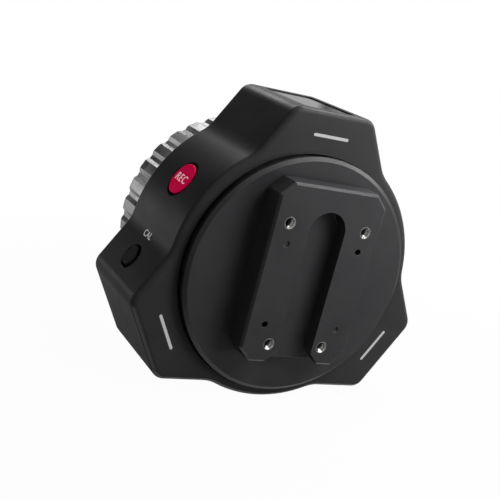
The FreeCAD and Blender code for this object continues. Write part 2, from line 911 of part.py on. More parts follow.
def stop_posts():
    return [rod_at(stop_post_radius, front_face + stop_press_depth, front_face - stop_post_reach,
                   spot(a, stop_circle)) for a in stop_post_angles]


# ---- focus wheel

def knurl_wire(y):
    edges = []
    pitch = 360.0 / wheel_teeth
    slope = pitch * (1.0 - crest_share - valley_share) / 2

    def arc(radius, start, end):
        middle = (start + end) / 2
        return Part.Arc(spot(start, radius, 0, y), spot(middle, radius, 0, y),
                        spot(end, radius, 0, y)).toShape()

    for i in range(wheel_teeth):
        start = pitch * i
        crest_end = start + pitch * crest_share
        valley_start = crest_end + slope
        valley_end = valley_start + pitch * valley_share
        edges.append(arc(wheel_crest, start, crest_end))
        edges.append(Part.LineSegment(spot(crest_end, wheel_crest, 0, y),
                                      spot(valley_start, wheel_valley, 0, y)).toShape())
        edges.append(arc(wheel_valley, valley_start, valley_end))
        edges.append(Part.LineSegment(spot(valley_end, wheel_valley, 0, y),
                                      spot(start + pitch, wheel_crest, 0, y)).toShape())
    return Part.Wire(Part.__sortEdges__(edges))


def wheel_rim():
    knurl = Part.Face(knurl_wire(knurl_rear)).extrude(Vector(0, wheel_front - knurl_rear, 0))
    ends = rod_y(wheel_crest, knurl_rear - wheel_edge, wheel_front + wheel_edge)
    edge_radius = wheel_crest - wheel_edge
    ends = ends.fuse([cone_y(wheel_crest, edge_radius, wheel_front + wheel_edge, wheel_front),
                      cone_y(wheel_crest, edge_radius, knurl_rear - wheel_edge, knurl_rear)])
    body = knurl.common(ends)
    body = body.fuse(rod_y(collar_outer, knurl_rear, wheel_rear))
    web_back = spindle_front
    cuts = [rod_y(rim_inner, wheel_rear + past, web_back),
            rod_y(rim_inner, cap_floor, wheel_front - past),
            rod_y(web_inner_radius, web_back + past, cap_floor - past)]
    for p in ring_spots(wheel_screw_circle, wheel_screw_count):
        cuts.append(rod_at(wheel_screw_radius + screw_clearance, web_back + past, cap_floor - past, p))
        cuts.append(cone_y(wheel_screw_head_radius + screw_clearance,
                           wheel_screw_radius + screw_clearance, cap_floor,
                           cap_floor + wheel_screw_head_height, p.x, p.z))
    return body.cut(cuts).removeSplitter()


def wheel_cap():
    body = rod_y(rim_inner - cap_fit, cap_floor, wheel_front)
    body = body.makeChamfer(cap_edge, edges_at_y(body, wheel_front))
    dish = cone_y(cap_dish_radius, cap_dish_radius - cap_dish_depth, wheel_front,
                  wheel_front + cap_dish_depth)
    return body.cut(dish)


def marking_ring():
    back = wheel_rear
    front = knurl_rear + marking_end_gap
    body = rod_y(marking_radius, back, front)
    ends = [e for y in (back, front) for e in edges_at_y(body, y)]
    body = body.makeChamfer(marking_edge, ends)
    return body.cut(rod_y(collar_outer + marking_fit, back + past, front - past))


def wheel_spindle():
    shaft_end = tower_rear + spindle_end_gap
    body = rod_y(spindle_flange_radius, spindle_front, spindle_back)
    body = body.fuse([rod_y(spindle_shoulder, spindle_back, front_bearing_y),
                      rod_y(bearing_bore_radius - running_fit, front_bearing_y, shaft_end)])
    groove_front = rear_bearing_y + bearing_width
    groove = ring_y(bearing_bore_radius + past, clip_groove_radius, groove_front,
                    groove_front + clip_thickness)
    cuts = [groove]
    cuts.append(rod_y(spindle_bore, spindle_back, shaft_end + past))
    for p in ring_spots(wheel_screw_circle, wheel_screw_count):
        cuts.append(rod_at(wheel_screw_radius + press_fit, spindle_front - past,
                           spindle_back + past, p))
    cuts.append(rod_at(stop_pin_radius + press_fit, spindle_back - stop_press_depth,
                       spindle_back + past, spot(display_lobe, stop_circle)))
    for p in ring_spots(gear_screw_circle, gear_screw_count):
        cuts.append(rod_at(gear_screw_radius + screw_clearance, spindle_front - past,
                           spindle_back + past, p))
        cuts.append(rod_at(gear_screw_radius * 2 + screw_clearance, spindle_front - past,
                           gear_screw_seat, p))
    return body.cut(cuts).removeSplitter()


def retaining_clip():
    front = rear_bearing_y + bearing_width
    ring = ring_y(clip_radius, clip_groove_radius + running_fit, front, front + clip_thickness)
    gap = box_xz(-clip_gap_half_width, clip_gap_half_width, 0, clip_radius + past,
                 front - past, front + clip_thickness + past)
    return ring.cut(gap)


def wheel_screws():
    solids = []
    for p in ring_spots(wheel_screw_circle, wheel_screw_count):
        cone_end = cap_floor + wheel_screw_head_height
        head = cone_y(wheel_screw_head_radius, wheel_screw_radius, cap_floor, cone_end, p.x, p.z)
        shank = rod_at(wheel_screw_radius, cone_end, spindle_back - blind_gap, p)
        socket = hex_socket(p, cap_floor, wheel_screw_head_radius)
        solids.append(head.fuse(shank).cut(socket).removeSplitter())
    return solids


def stop_pin():
    return rod_at(stop_pin_radius, spindle_back - stop_press_depth, spindle_back + stop_pin_reach,
                  spot(display_lobe, stop_circle))


# ---- position gear

def involute(angle):
    return math.tan(angle) - angle


def gear_wire(teeth, shift, y, centre, turn):
    """An involute gear's outline about a centre, with one tooth pointing at the angle turn."""
    pressure = math.radians(pressure_angle)
    pitch_radius = gear_module * teeth / 2
    base = pitch_radius * math.cos(pressure)
    tip = pitch_radius + gear_module * (gear_addendum + shift)
    root = pitch_radius - gear_module * (gear_dedendum - shift)
    half = (math.pi / 2 + 2 * shift * math.tan(pressure)) / teeth - gear_backlash / (2 * pitch_radius)

    def half_at(radius):
        return half + involute(pressure) - involute(math.acos(base / max(radius, base)))

    def at(radius, angle):
        return centre + spot(math.degrees(angle), radius, 0, y)

    flank_start = max(base, root)
    radii = [flank_start + (tip - flank_start) * i / flank_steps for i in range(flank_steps + 1)]
    pitch = 2 * math.pi / teeth
    edges = []
    for i in range(teeth):
        middle = math.radians(turn) + i * pitch
        left = [at(r, middle - half_at(r)) for r in radii]
        right = [at(r, middle + half_at(r)) for r in reversed(radii)]
        root_left = at(root, middle - half_at(flank_start))
        root_right = at(root, middle + half_at(flank_start))
        next_left = at(root, middle + pitch - half_at(flank_start))
        if base > root:
            edges.append(Part.LineSegment(root_left, left[0]).toShape())
            edges.append(Part.LineSegment(right[-1], root_right).toShape())
        for flank in (left, right):
            curve = Part.BSplineCurve()
            curve.interpolate(flank)
            edges.append(curve.toShape())
        edges.append(Part.Arc(left[-1], at(tip, middle), right[0]).toShape())
        edges.append(Part.Arc(root_right, at(root, middle + pitch / 2), next_left).toShape())
    return Part.Wire(Part.__sortEdges__(edges))


def drive_gear():
    wire = gear_wire(gear_teeth, -profile_shift, spindle_back, Vector(), encoder_angle)
    body = Part.Face(wire).extrude(Vector(0, gear_face, 0))
    cuts = [rod_y(gear_bore, spindle_back - past, gear_back + past)]
    for p in ring_spots(gear_screw_circle, gear_screw_count):
        cuts.append(rod_at(gear_screw_radius + press_fit, spindle_back - past,
                           spindle_back + gear_screw_bite + blind_gap, p))
    return body.cut(cuts)


def gear_screws():
    solids = []
    for p in ring_spots(gear_screw_circle, gear_screw_count):
        head = rod_at(gear_screw_radius * 2, gear_screw_seat - gear_screw_head_height,
                      gear_screw_seat, p)
        shank = rod_at(gear_screw_radius, gear_screw_seat, spindle_back + gear_screw_bite, p)
        solids.append(head.fuse(shank).removeSplitter())
    return solids


def encoder_pinion():
    centre = spot(encoder_angle, gear_distance)
    front = spindle_back + pinion_end_gap
    space_to_gear = encoder_angle + 180.0 + 180.0 / pinion_teeth
    wire = gear_wire(pinion_teeth, profile_shift, front, centre, space_to_gear)
    body = Part.Face(wire).extrude(Vector(0, pinion_face, 0))
    bushing_front = front_face - encoder_bushing_reach
    shaft = rod_at(encoder_shaft_radius, front, bushing_front + encoder_shaft_depth, centre)
    return body.fuse(shaft).removeSplitter()


def encoder():
    centre = spot(encoder_angle, gear_distance)
    side = encoder_half_side
    body = box_xz(centre.x - side, centre.x + side, centre.z - side, centre.z + side,
                  cover_back, board_front)
    bushing_front = front_face - encoder_bushing_reach
    body = body.fuse(rod_at(encoder_bushing_radius, cover_back, bushing_front, centre))
    bore = rod_at(encoder_shaft_radius + encoder_shaft_clearance, bushing_front - past,
                  bushing_front + encoder_shaft_depth + blind_gap, centre)
    return body.cut(bore).removeSplitter()


def encoder_nut():
    centre = spot(encoder_angle, gear_distance)
    corner = encoder_nut_flats / 2 / math.cos(math.radians(30))
    corners = [Vector(centre.x, front_face, centre.z) + radial(encoder_angle + 60.0 * i) * corner
               for i in range(6)]
    nut = prism(corners, Vector(0, -encoder_nut_height, 0))
    return nut.cut(rod_at(encoder_bushing_radius + running_fit, front_face + past,
                          front_face - encoder_nut_height - past, centre))


# ---- boards, battery and port

def main_board():
    body = lobed(main_board_inset, board_front, board_rear)
    cuts = [rod_y(main_board_hole, board_front - past, board_rear + past)]
    cuts += [rod_at(cover_screw_hole, board_front - past, board_rear + past, p) for p in boss_spots()]
    return body.cut(cuts)


def on_board(x, z, half_width, half_height, thickness):
    return box_xz(x - half_width, x + half_width, z - half_height, z + half_height,
                  board_rear, board_rear + thickness)


def radio_module():
    return on_board(*radio_block)


def board_chips():
    return [on_board(*chip) for chip in chip_blocks]


def battery_pack():
    front = flange_inner - tray_thickness
    return rounded_xz(battery_half_width, battery_bottom, battery_top, battery_corner,
                      front, front - battery_thickness)


def battery_tray():
    back = flange_inner
    front = back - tray_thickness
    body = rod_y(tray_radius, back, front)
    outer = rounded_xz(battery_half_width + tray_fit + tray_wall, battery_bottom - tray_fit - tray_wall,
                       battery_top + tray_fit + tray_wall, battery_corner + tray_wall,
                       front, front - tray_wall_height)
    inner = rounded_xz(battery_half_width + tray_fit, battery_bottom - tray_fit,
                       battery_top + tray_fit, battery_corner, front, front - tray_wall_height - past)
    body = body.fuse(outer).cut(inner)
    cuts = []
    for p in ring_spots(disc_screw_circle, tray_screw_count, tray_screw_turn):
        cuts.append(rod_at(board_screw_radius + screw_clearance, back + past, front - past, p))
    # the tray passes the bosses at any size of disc
    cuts += [rod_at(boss_radius + tray_fit, back + past, front - past, p) for p in boss_spots()]
    return body.cut(cuts).removeSplitter()


def tray_screws():
    solids = []
    front = flange_inner - tray_thickness
    for p in ring_spots(disc_screw_circle, tray_screw_count, tray_screw_turn):
        head = rod_at(board_screw_head_radius, front, front - board_screw_head_height, p)
        shank = rod_at(board_screw_radius, front, flange_inner + tray_screw_bite, p)
        socket = hex_socket(p, front - board_screw_head_height, board_screw_head_radius)
        solids.append(head.fuse(shank).cut(socket).removeSplitter())
    return solids


def board_on_side(angle, start, end, posts):
    board = side_box(angle, button_board_inner, button_board_outer, start, end,
                     button_y - button_board_half_width, button_y + button_board_half_width)
    holes = [side_rod(board_screw_radius + screw_clearance, angle, button_board_inner - past,
                      button_board_outer + past, a, button_y) for a in posts]
    return board.cut(holes)


def button_board():
    return board_on_side(button_angle, button_board_start, button_board_end, button_board_posts)


def power_board():
    return board_on_side(power_angle, -button_board_end, button_board_end, power_board_posts)


def board_screws():
    solids = []
    for angle, posts in ((button_angle, button_board_posts), (power_angle, power_board_posts)):
        for along in posts:
            head_low = button_board_inner - board_screw_head_height
            head = side_rod(board_screw_head_radius, angle, head_low, button_board_inner,
                            along, button_y)
            neck = side_rod(board_screw_radius, angle, button_board_inner, button_board_outer,
                            along, button_y)
            tip = button_board_outer + board_screw_bite - blind_gap
            thread = side_rod(post_pilot_radius - press_fit, angle, button_board_outer, tip,
                              along, button_y)
            solids.append(head.fuse([neck, thread]).removeSplitter())
    return solids


switch_spots = ((button_angle, 0.0, button_y), (button_angle, cal_along, cal_y),
                (power_angle, 0.0, button_y))


def tact_switches():
    solids = []
    for angle, along, y in switch_spots:
        base = side_box(angle, button_board_outer, switch_top, along - switch_half_side,
                        along + switch_half_side, y - switch_half_side, y + switch_half_side)
        bore = side_rod(switch_bore, angle, switch_top - switch_bore_depth, switch_top + past, along, y)
        solids.append(base.cut(bore))
    return solids


def plunger(angle, along, y):
    return side_rod(plunger_radius, angle, plunger_bottom, stem_bottom, along, y)


def button_cap(angle, radius, flange_radius, top, flange_top, along, y):
    cap = side_rod(radius, angle, flange_top, top, along, y)
    crown_centre = spot(angle, top, along, y)
    crown = [e for e in cap.Edges if (e.CenterOfMass - crown_centre).Length < button_edge]
    cap = cap.makeFillet(button_edge, crown)
    flange = side_rod(flange_radius, angle, flange_top - button_flange, flange_top, along, y)
    body = cap.fuse(flange)
    stem = side_rod(stem_radius, angle, stem_bottom, flange_top, along, y)
    return body.fuse(stem).removeSplitter()


def round_flange_top(flange_radius):
    """The highest reach of a flange that stays clear of the round wall above it."""
    inner = arc_radius - wall
    return math.sqrt(inner ** 2 - flange_radius ** 2) - flange_gap


def rec_button():
    return button_cap(button_angle, rec_radius, rec_flange_radius, round_button_top,
                      round_flange_top(rec_flange_radius), 0, button_y)


def cal_button():
    return button_cap(button_angle, small_radius, cal_flange_radius, cal_top,
                      flank_reach - wall - flange_gap, cal_along, cal_y)


def power_button():
    return button_cap(power_angle, small_radius, cal_flange_radius, round_button_top,
                      round_flange_top(cal_flange_radius), 0, button_y)


def charging_port():
    top = lobe_reach - port_sunk
    low = top - port_length
    outer = side_rounded(port_lobe, low, top, port_half_height, port_y, port_half_width,
                         port_corner)
    inner = side_rounded(port_lobe, low + port_back, top + past, port_half_height - port_shell, port_y,
                         port_half_width - port_shell, port_corner - port_shell)
    shell = outer.cut(inner)
    tongue = side_box(port_lobe, low + port_back, top - port_tongue_gap, -port_tongue_half_height,
                      port_tongue_half_height, port_y - port_tongue_half_width,
                      port_y + port_tongue_half_width)
    return shell.fuse(tongue).removeSplitter()


def port_board():
    reach_to = lobe_reach - wall - rail_fit
    return side_box(port_lobe, reach_to - port_board_length, reach_to,
                    -port_half_height - port_board_thickness, -port_half_height,
                    port_y - port_board_half_width, port_y + port_board_half_width)


def antenna():
    """A flat antenna strip bonded to the inside of the port lobe's upper flank."""
    reach = flank_reach - wall
    return side_box(power_angle, reach - antenna_thickness, reach, antenna_start, antenna_end,
                    body_middle - antenna_half_width, body_middle + antenna_half_width)


nodes = {
    "main_housing": main_housing,
    "front_cover": front_cover,
    "rear_disc": rear_disc,
    "mount_plate": mount_plate,
    "thread_inserts": thread_inserts,
    "plate_screws": plate_screws,
    "disc_screws": disc_screws,
    "cover_screws": cover_screws,
    "marker_bars": marker_bars,
    "index_mark": index_mark,
    "display_window": display_window,
    "window_adhesive": window_adhesive,
    "display_module": display_module,
    "display_ribbon": display_ribbon,
    "bearing_outer_rings": bearing_outer_rings,
    "bearing_balls": bearing_balls,
    "bearing_cages": bearing_cages,
    "felt_ring": felt_ring,
    "stop_posts": stop_posts,
    "encoder": encoder,
    "encoder_nut": encoder_nut,
    "main_board": main_board,
    "radio_module": radio_module,
    "board_chips": board_chips,
    "battery_pack": battery_pack,
    "battery_tray": battery_tray,
    "tray_screws": tray_screws,
    "button_board": button_board,
    "power_board": power_board,
    "board_screws": board_screws,
    "tact_switches": tact_switches,
    "charging_port": charging_port,
    "port_board": port_board,
    "antenna": antenna,
    "wheel_rim": wheel_rim,
    "wheel_cap": wheel_cap,
    "marking_ring": marking_ring,
    "wheel_spindle": wheel_spindle,
    "bearing_inner_rings": bearing_inner_rings,
    "retaining_clip": retaining_clip,
    "wheel_screws": wheel_screws,
    "stop_pin": stop_pin,
    "drive_gear": drive_gear,
    "gear_screws": gear_screws,
    "encoder_pinion": encoder_pinion,
    "rec_button": rec_button,
    "rec_plunger": lambda: plunger(*switch_spots[0]),
    "cal_button": cal_button,
    "cal_plunger": lambda: plunger(*switch_spots[1]),
    "power_button": power_button,
    "power_plunger": lambda: plunger(*switch_spots[2]),
}

os.makedirs("parts", exist_ok=True)
for name, build in nodes.items():
    made = build()
    shape = Part.makeCompound(made) if isinstance(made, list) else made
    shape.exportStep(f"parts/{name}.step")
    faults = [] if shape.isValid() else ["not valid"]
    if isinstance(made, list) and len(shape.Solids) != len(made):
        faults.append("a solid is missing")
    if not isinstance(made, list) and len(shape.Solids) != 1:
        faults.append(f"{len(shape.Solids)} solids")
    print(f"{name:22s} {len(shape.Solids):3d} solids {shape.Volume / 1000:8.3f} cm3", *faults)
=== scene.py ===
import bpy
import json
import math
from mathutils import Matrix, Vector

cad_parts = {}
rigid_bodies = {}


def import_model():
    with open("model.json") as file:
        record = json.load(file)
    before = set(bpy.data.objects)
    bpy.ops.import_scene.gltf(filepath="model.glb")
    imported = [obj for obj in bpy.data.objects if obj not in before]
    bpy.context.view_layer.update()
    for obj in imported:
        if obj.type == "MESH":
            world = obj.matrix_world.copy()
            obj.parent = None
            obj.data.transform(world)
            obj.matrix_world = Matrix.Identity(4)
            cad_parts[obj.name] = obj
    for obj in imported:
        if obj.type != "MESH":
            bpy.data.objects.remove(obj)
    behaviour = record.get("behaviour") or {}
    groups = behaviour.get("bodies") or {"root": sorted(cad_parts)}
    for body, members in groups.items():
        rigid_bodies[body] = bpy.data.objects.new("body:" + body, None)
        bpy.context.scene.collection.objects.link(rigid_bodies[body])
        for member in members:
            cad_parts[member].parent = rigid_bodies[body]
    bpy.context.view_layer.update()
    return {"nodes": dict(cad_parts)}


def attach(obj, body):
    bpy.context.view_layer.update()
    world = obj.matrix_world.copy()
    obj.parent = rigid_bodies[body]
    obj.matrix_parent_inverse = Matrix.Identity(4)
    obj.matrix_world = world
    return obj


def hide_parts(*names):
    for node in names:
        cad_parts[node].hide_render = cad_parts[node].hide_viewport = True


for leftOver in list(bpy.data.objects):
    bpy.data.objects.remove(leftOver)

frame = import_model()
nodes = frame["nodes"]
mm = 0.001
print("frame loaded:", len(nodes), "nodes")


# small helpers

def onlySelect(piece):
    if bpy.context.object and bpy.context.object.mode != "OBJECT":
        bpy.ops.object.mode_set(mode="OBJECT")
    bpy.ops.object.select_all(action="DESELECT")
    piece.select_set(True)
    bpy.context.view_layer.objects.active = piece


def startEdit(piece, mode):
    onlySelect(piece)
    bpy.ops.object.mode_set(mode="EDIT")
    bpy.ops.mesh.select_mode(type=mode)
    bpy.ops.mesh.select_all(action="DESELECT")


def endEdit():
    bpy.ops.object.mode_set(mode="OBJECT")


# Selects only the faces whose centre is wanted
def pickFaces(piece, wanted):
    endEdit()
    for face in piece.data.polygons:
        face.select = wanted(face.center)
    for part in (*piece.data.edges, *piece.data.vertices):
        part.select = False
    bpy.ops.object.mode_set(mode="EDIT")


def settle(piece):
    onlySelect(piece)
    bpy.ops.object.transform_apply(location=True, rotation=True, scale=True)


def applyModifier(piece, kind, **settings):
    onlySelect(piece)
    modifier = piece.modifiers.new(kind.lower(), kind)
    for name, value in settings.items():
        setattr(modifier, name, value)
    bpy.ops.object.modifier_apply(modifier=modifier.name)


def joinPieces(pieces, name):
    onlySelect(pieces[0])
    for piece in pieces:
        piece.select_set(True)
    bpy.ops.object.join()
    pieces[0].name = name
    return pieces[0]


# The matrix that puts an object at the origin and turns it to the three axes
def placeFrom(origin, axes):
    turn = Matrix([[axis[row] for axis in axes] for row in range(3)])
    return Matrix.Translation(origin) @ turn.to_4x4()


def radial(angle):
    return Vector((math.cos(math.radians(angle)), 0, math.sin(math.radians(angle))))


def tangent(angle):
    return Vector((-math.sin(math.radians(angle)), 0, math.cos(math.radians(angle))))


# A place on the grip's side, given in millimetres: x runs from the wheel to the plate, z points outwards
def sidePlace(angle, reach, along, y):
    origin = radial(angle) * reach + tangent(angle) * along + Vector((0, y, 0))
    place = placeFrom(origin, (Vector((0, 1, 0)), tangent(angle), radial(angle)))
    place.translation *= mm
    return place


# camera

cameraView = {
    "place": (0.152515, 0.221333, 0.074126),
    "right": (-0.86689081, 0.43320996, 0.24663627),
    "up": (0.10038748, -0.33291227, 0.93759894),
    "back": (0.48828543, 0.8375551, 0.24510973),
    "lens": 68.517,
    "sensor": 36.0,
    "nearest": 0.01,
}


def addCamera(view):
    bpy.ops.object.camera_add()
    camera = bpy.context.object
    camera.name = "viewCamera"
    axes = [Vector(view[key]) for key in ("right", "up", "back")]
    camera.matrix_world = placeFrom(Vector(view["place"]), axes)
    camera.data.lens = view["lens"]
    camera.data.sensor_width = view["sensor"]
    camera.data.clip_start = view["nearest"]
    bpy.context.scene.camera = camera


addCamera(cameraView)
print("camera placed")


# shared effects, built once

def newGroup(name, inputs, outputs):
    group = bpy.data.node_groups.new(name, "ShaderNodeTree")
    for label, value in inputs.items():
        socket = group.interface.new_socket(name=label, in_out="INPUT", socket_type="NodeSocketFloat")
        socket.default_value = value
    for label, kind in outputs.items():
        group.interface.new_socket(name=label, in_out="OUTPUT", socket_type=kind)
    return group, group.nodes.new("NodeGroupInput"), group.nodes.new("NodeGroupOutput")


# Adds a node; settings are its own options, inputs are values or sockets to link
def add(tree, kind, settings=None, **inputs):
    node = tree.nodes.new(kind)
    for name, value in (settings or {}).items():
        setattr(node, name, value)
    for name, value in inputs.items():
        key = int(name[2:]) if name.startswith("in") and name[2:].isdigit() else name.replace("_", " ")
        socket = node.inputs[key]
        if isinstance(value, bpy.types.NodeSocket):
            tree.links.new(value, socket)
        else:
            socket.default_value = value
    return node


def maths(tree, operation, *values):
    named = {f"in{i}": value for i, value in enumerate(values)}
    return add(tree, "ShaderNodeMath", {"operation": operation}, **named).outputs[0]


# Runs from 0 at low to 1 at high, or between the two ends given, and stays level beyond them
def span(tree, value, low, high, **ends):
    return add(tree, "ShaderNodeMapRange", Value=value, From_Min=low, From_Max=high, **ends).outputs["Result"]


def splitAxes(tree, vector):
    return add(tree, "ShaderNodeSeparateXYZ", Vector=vector).outputs


def noise(tree, settings=None, **inputs):
    return add(tree, "ShaderNodeTexNoise", settings, **inputs).outputs["Fac"]


def objectPoint(tree):
    return add(tree, "ShaderNodeTexCoord").outputs["Object"]


toneRange = (0.35, 0.65)  # the noise values between which a patch goes from one tone to the other


# The fine skin of a moulded or blasted surface. Pitch and Patch are in metres
def buildGrain():
    group, given, out = newGroup("fineGrain", {"Pitch": 0.0002, "Patch": 0.012},
                                 {"Height": "NodeSocketFloat", "Tone": "NodeSocketFloat"})
    point = objectPoint(group)
    fineScale = maths(group, "DIVIDE", 1.0, given.outputs["Pitch"])
    fine = noise(group, Vector=point, Scale=fineScale, Detail=2.0, Roughness=0.6)
    patchScale = maths(group, "DIVIDE", 1.0, given.outputs["Patch"])
    patch = noise(group, Vector=point, Scale=patchScale, Detail=3.0, Roughness=0.55, Distortion=0.4)
    group.links.new(fine, out.inputs["Height"])
    group.links.new(span(group, patch, *toneRange), out.inputs["Tone"])
    return group


edgeMaskSettings = {"samples": 6, "start": 0.01, "breakScale": 900.0}
# between which values of a unit normal's X, Y or Z each mask goes from none to full
edgeRanges = {"steep": (0.08, 0.3), "away": (-0.3, -0.6), "down": (-0.3, -0.6), "wall": (0.5, 0.3),
              "offFlat": (0.95, 0.9), "offSide": (0.4, 0.5), "upright": (0.33, 0.56),
              "below": (-0.15, -0.4), "near": (-0.3, -0.1)}


# Normal is the surface normal softened over the edges. The edge mask marks edges, apart from those that face
# sideways, for wear and a painted highlight. Bevel marks faces that slope back from the rear, for a painted
# highlight;
# those that face sideways get the Sides share of it. Low marks such slopes where they face down, but not to
# -X, for painted light from below. Shade marks what turns to -X, and walls that face down, for painted shade
def buildEdgeWearAndLight():
    group, given, out = newGroup("edgeWearAndLight", {"Radius": 0.0003, "Reach": 0.25, "Sides": 0.0},
                                 {"WearHighlight": "NodeSocketFloat", "Normal": "NodeSocketVector",
                                  "Bevel": "NodeSocketFloat", "Shade": "NodeSocketFloat",
                                  "Low": "NodeSocketFloat"})

    def mask(value, name, **ends):
        return span(group, value, *edgeRanges[name], **ends)

    def times(first, second):
        return maths(group, "MULTIPLY", first, second)

    soft = add(group, "ShaderNodeBevel", {"samples": edgeMaskSettings["samples"]},
               Radius=given.outputs["Radius"]).outputs["Normal"]
    flat = add(group, "ShaderNodeNewGeometry").outputs["Normal"]
    softX, softY, softZ = splitAxes(group, soft)
    _, flatY, flatZ = splitAxes(group, flat)
    match = add(group, "ShaderNodeVectorMath", {"operation": "DOT_PRODUCT"}, in0=soft, in1=flat)
    turned = maths(group, "SUBTRACT", 1.0, match.outputs["Value"])
    rub = span(group, turned, edgeMaskSettings["start"], given.outputs["Reach"])
    broken = noise(group, Vector=objectPoint(group), Scale=edgeMaskSettings["breakScale"], Detail=3.0)
    # edges lighter for wear, and as a painted highlight where they face up or down
    wearAndHighlight = times(times(rub, broken), mask(maths(group, "ABSOLUTE", softZ), "steep"))
    # painted shade on what turns to -X and on walls that face down
    underWall = times(mask(softZ, "down"), mask(softY, "wall"))
    shade = maths(group, "MAXIMUM", mask(softX, "away"), underWall)
    # back-sloping bevels, for a painted highlight
    sloped = times(mask(flatY, "offFlat"), mask(flatY, "offSide"))
    share = mask(maths(group, "ABSOLUTE", flatZ), "upright", To_Min=given.outputs["Sides"])
    # bevels that face down, for painted light from below
    under = times(mask(flatZ, "below"), mask(softX, "near"))
    made = {"WearHighlight": wearAndHighlight, "Normal": soft, "Bevel": times(sloped, share), "Shade": shade,
            "Low": times(sloped, under)}
    for label, output in made.items():
        group.links.new(output, out.inputs[label])
    return group


# how much Y moves the rings, and the radius in metres at which Axial has its true pitch
lineShape = {"slant": 1.37, "radius": 0.0368}


# Fine lines left by turning: Turned runs round the wheel's axis, Axial runs along it
def buildToolLines():
    group, given, out = newGroup("toolLines", {"Pitch": 0.0001},
                                 {"Turned": "NodeSocketFloat", "Axial": "NodeSocketFloat"})
    x, y, z = splitAxes(group, objectPoint(group))
    distance = maths(group, "SQRT", maths(group, "ADD", maths(group, "MULTIPLY", x, x),
                                          maths(group, "MULTIPLY", z, z)))
    across = maths(group, "ADD", distance, maths(group, "MULTIPLY", y, lineShape["slant"]))
    around = maths(group, "MULTIPLY", maths(group, "ARCTAN2", z, x), lineShape["radius"])
    for label, place in (("Turned", across), ("Axial", around)):
        steps = maths(group, "DIVIDE", place, given.outputs["Pitch"])
        lines = noise(group, {"noise_dimensions": "1D"}, Detail=3.0, Roughness=0.7, W=steps, Scale=1.0)
        group.links.new(lines, out.inputs[label])
    return group


traceEdge = (0.16, 0.1)  # where a line fades, in pitches from the border of its cell


# Square-cornered copper lines under a board's lacquer
def buildTraces():
    group, given, out = newGroup("boardTraces", {"Pitch": 0.0012}, {"Line": "NodeSocketFloat"})
    scale = maths(group, "DIVIDE", 1.0, given.outputs["Pitch"])
    cells = [add(group, "ShaderNodeTexVoronoi", {"distance": "CHEBYCHEV", "feature": feature},
                 Vector=objectPoint(group), Scale=scale) for feature in ("F1", "F2")]
    nearest, second = [cell.outputs["Distance"] for cell in cells]
    gap = maths(group, "SUBTRACT", second, nearest)
    group.links.new(span(group, gap, *traceEdge), out.inputs["Line"])
    return group


grainGroup = buildGrain()
edgeWearLightGroup = buildEdgeWearAndLight()
linesGroup = buildToolLines()
tracesGroup = buildTraces()


def useGroup(tree, group, **values):
    node = tree.nodes.new("ShaderNodeGroup")
    node.node_tree = group
    for label, value in values.items():
        node.inputs[label].default_value = value
    return node


# Amount is a socket, and the two colours are sockets or plain (red, green, blue)
def mixColor(tree, amount, first, second):
    colors = [color if isinstance(color, bpy.types.NodeSocket) else (*color, 1.0) for color in (first, second)]
    # sockets 0, 6 and 7 of a Mix node are its factor and its colours A and B
    mix = add(tree, "ShaderNodeMix", {"data_type": "RGBA"}, in0=amount, in6=colors[0], in7=colors[1])
    return mix.outputs[2]


def newMaterial(name):
    material = bpy.data.materials.new(name)
    material.use_nodes = True
    return material, material.node_tree, material.node_tree.nodes["Principled BSDF"]
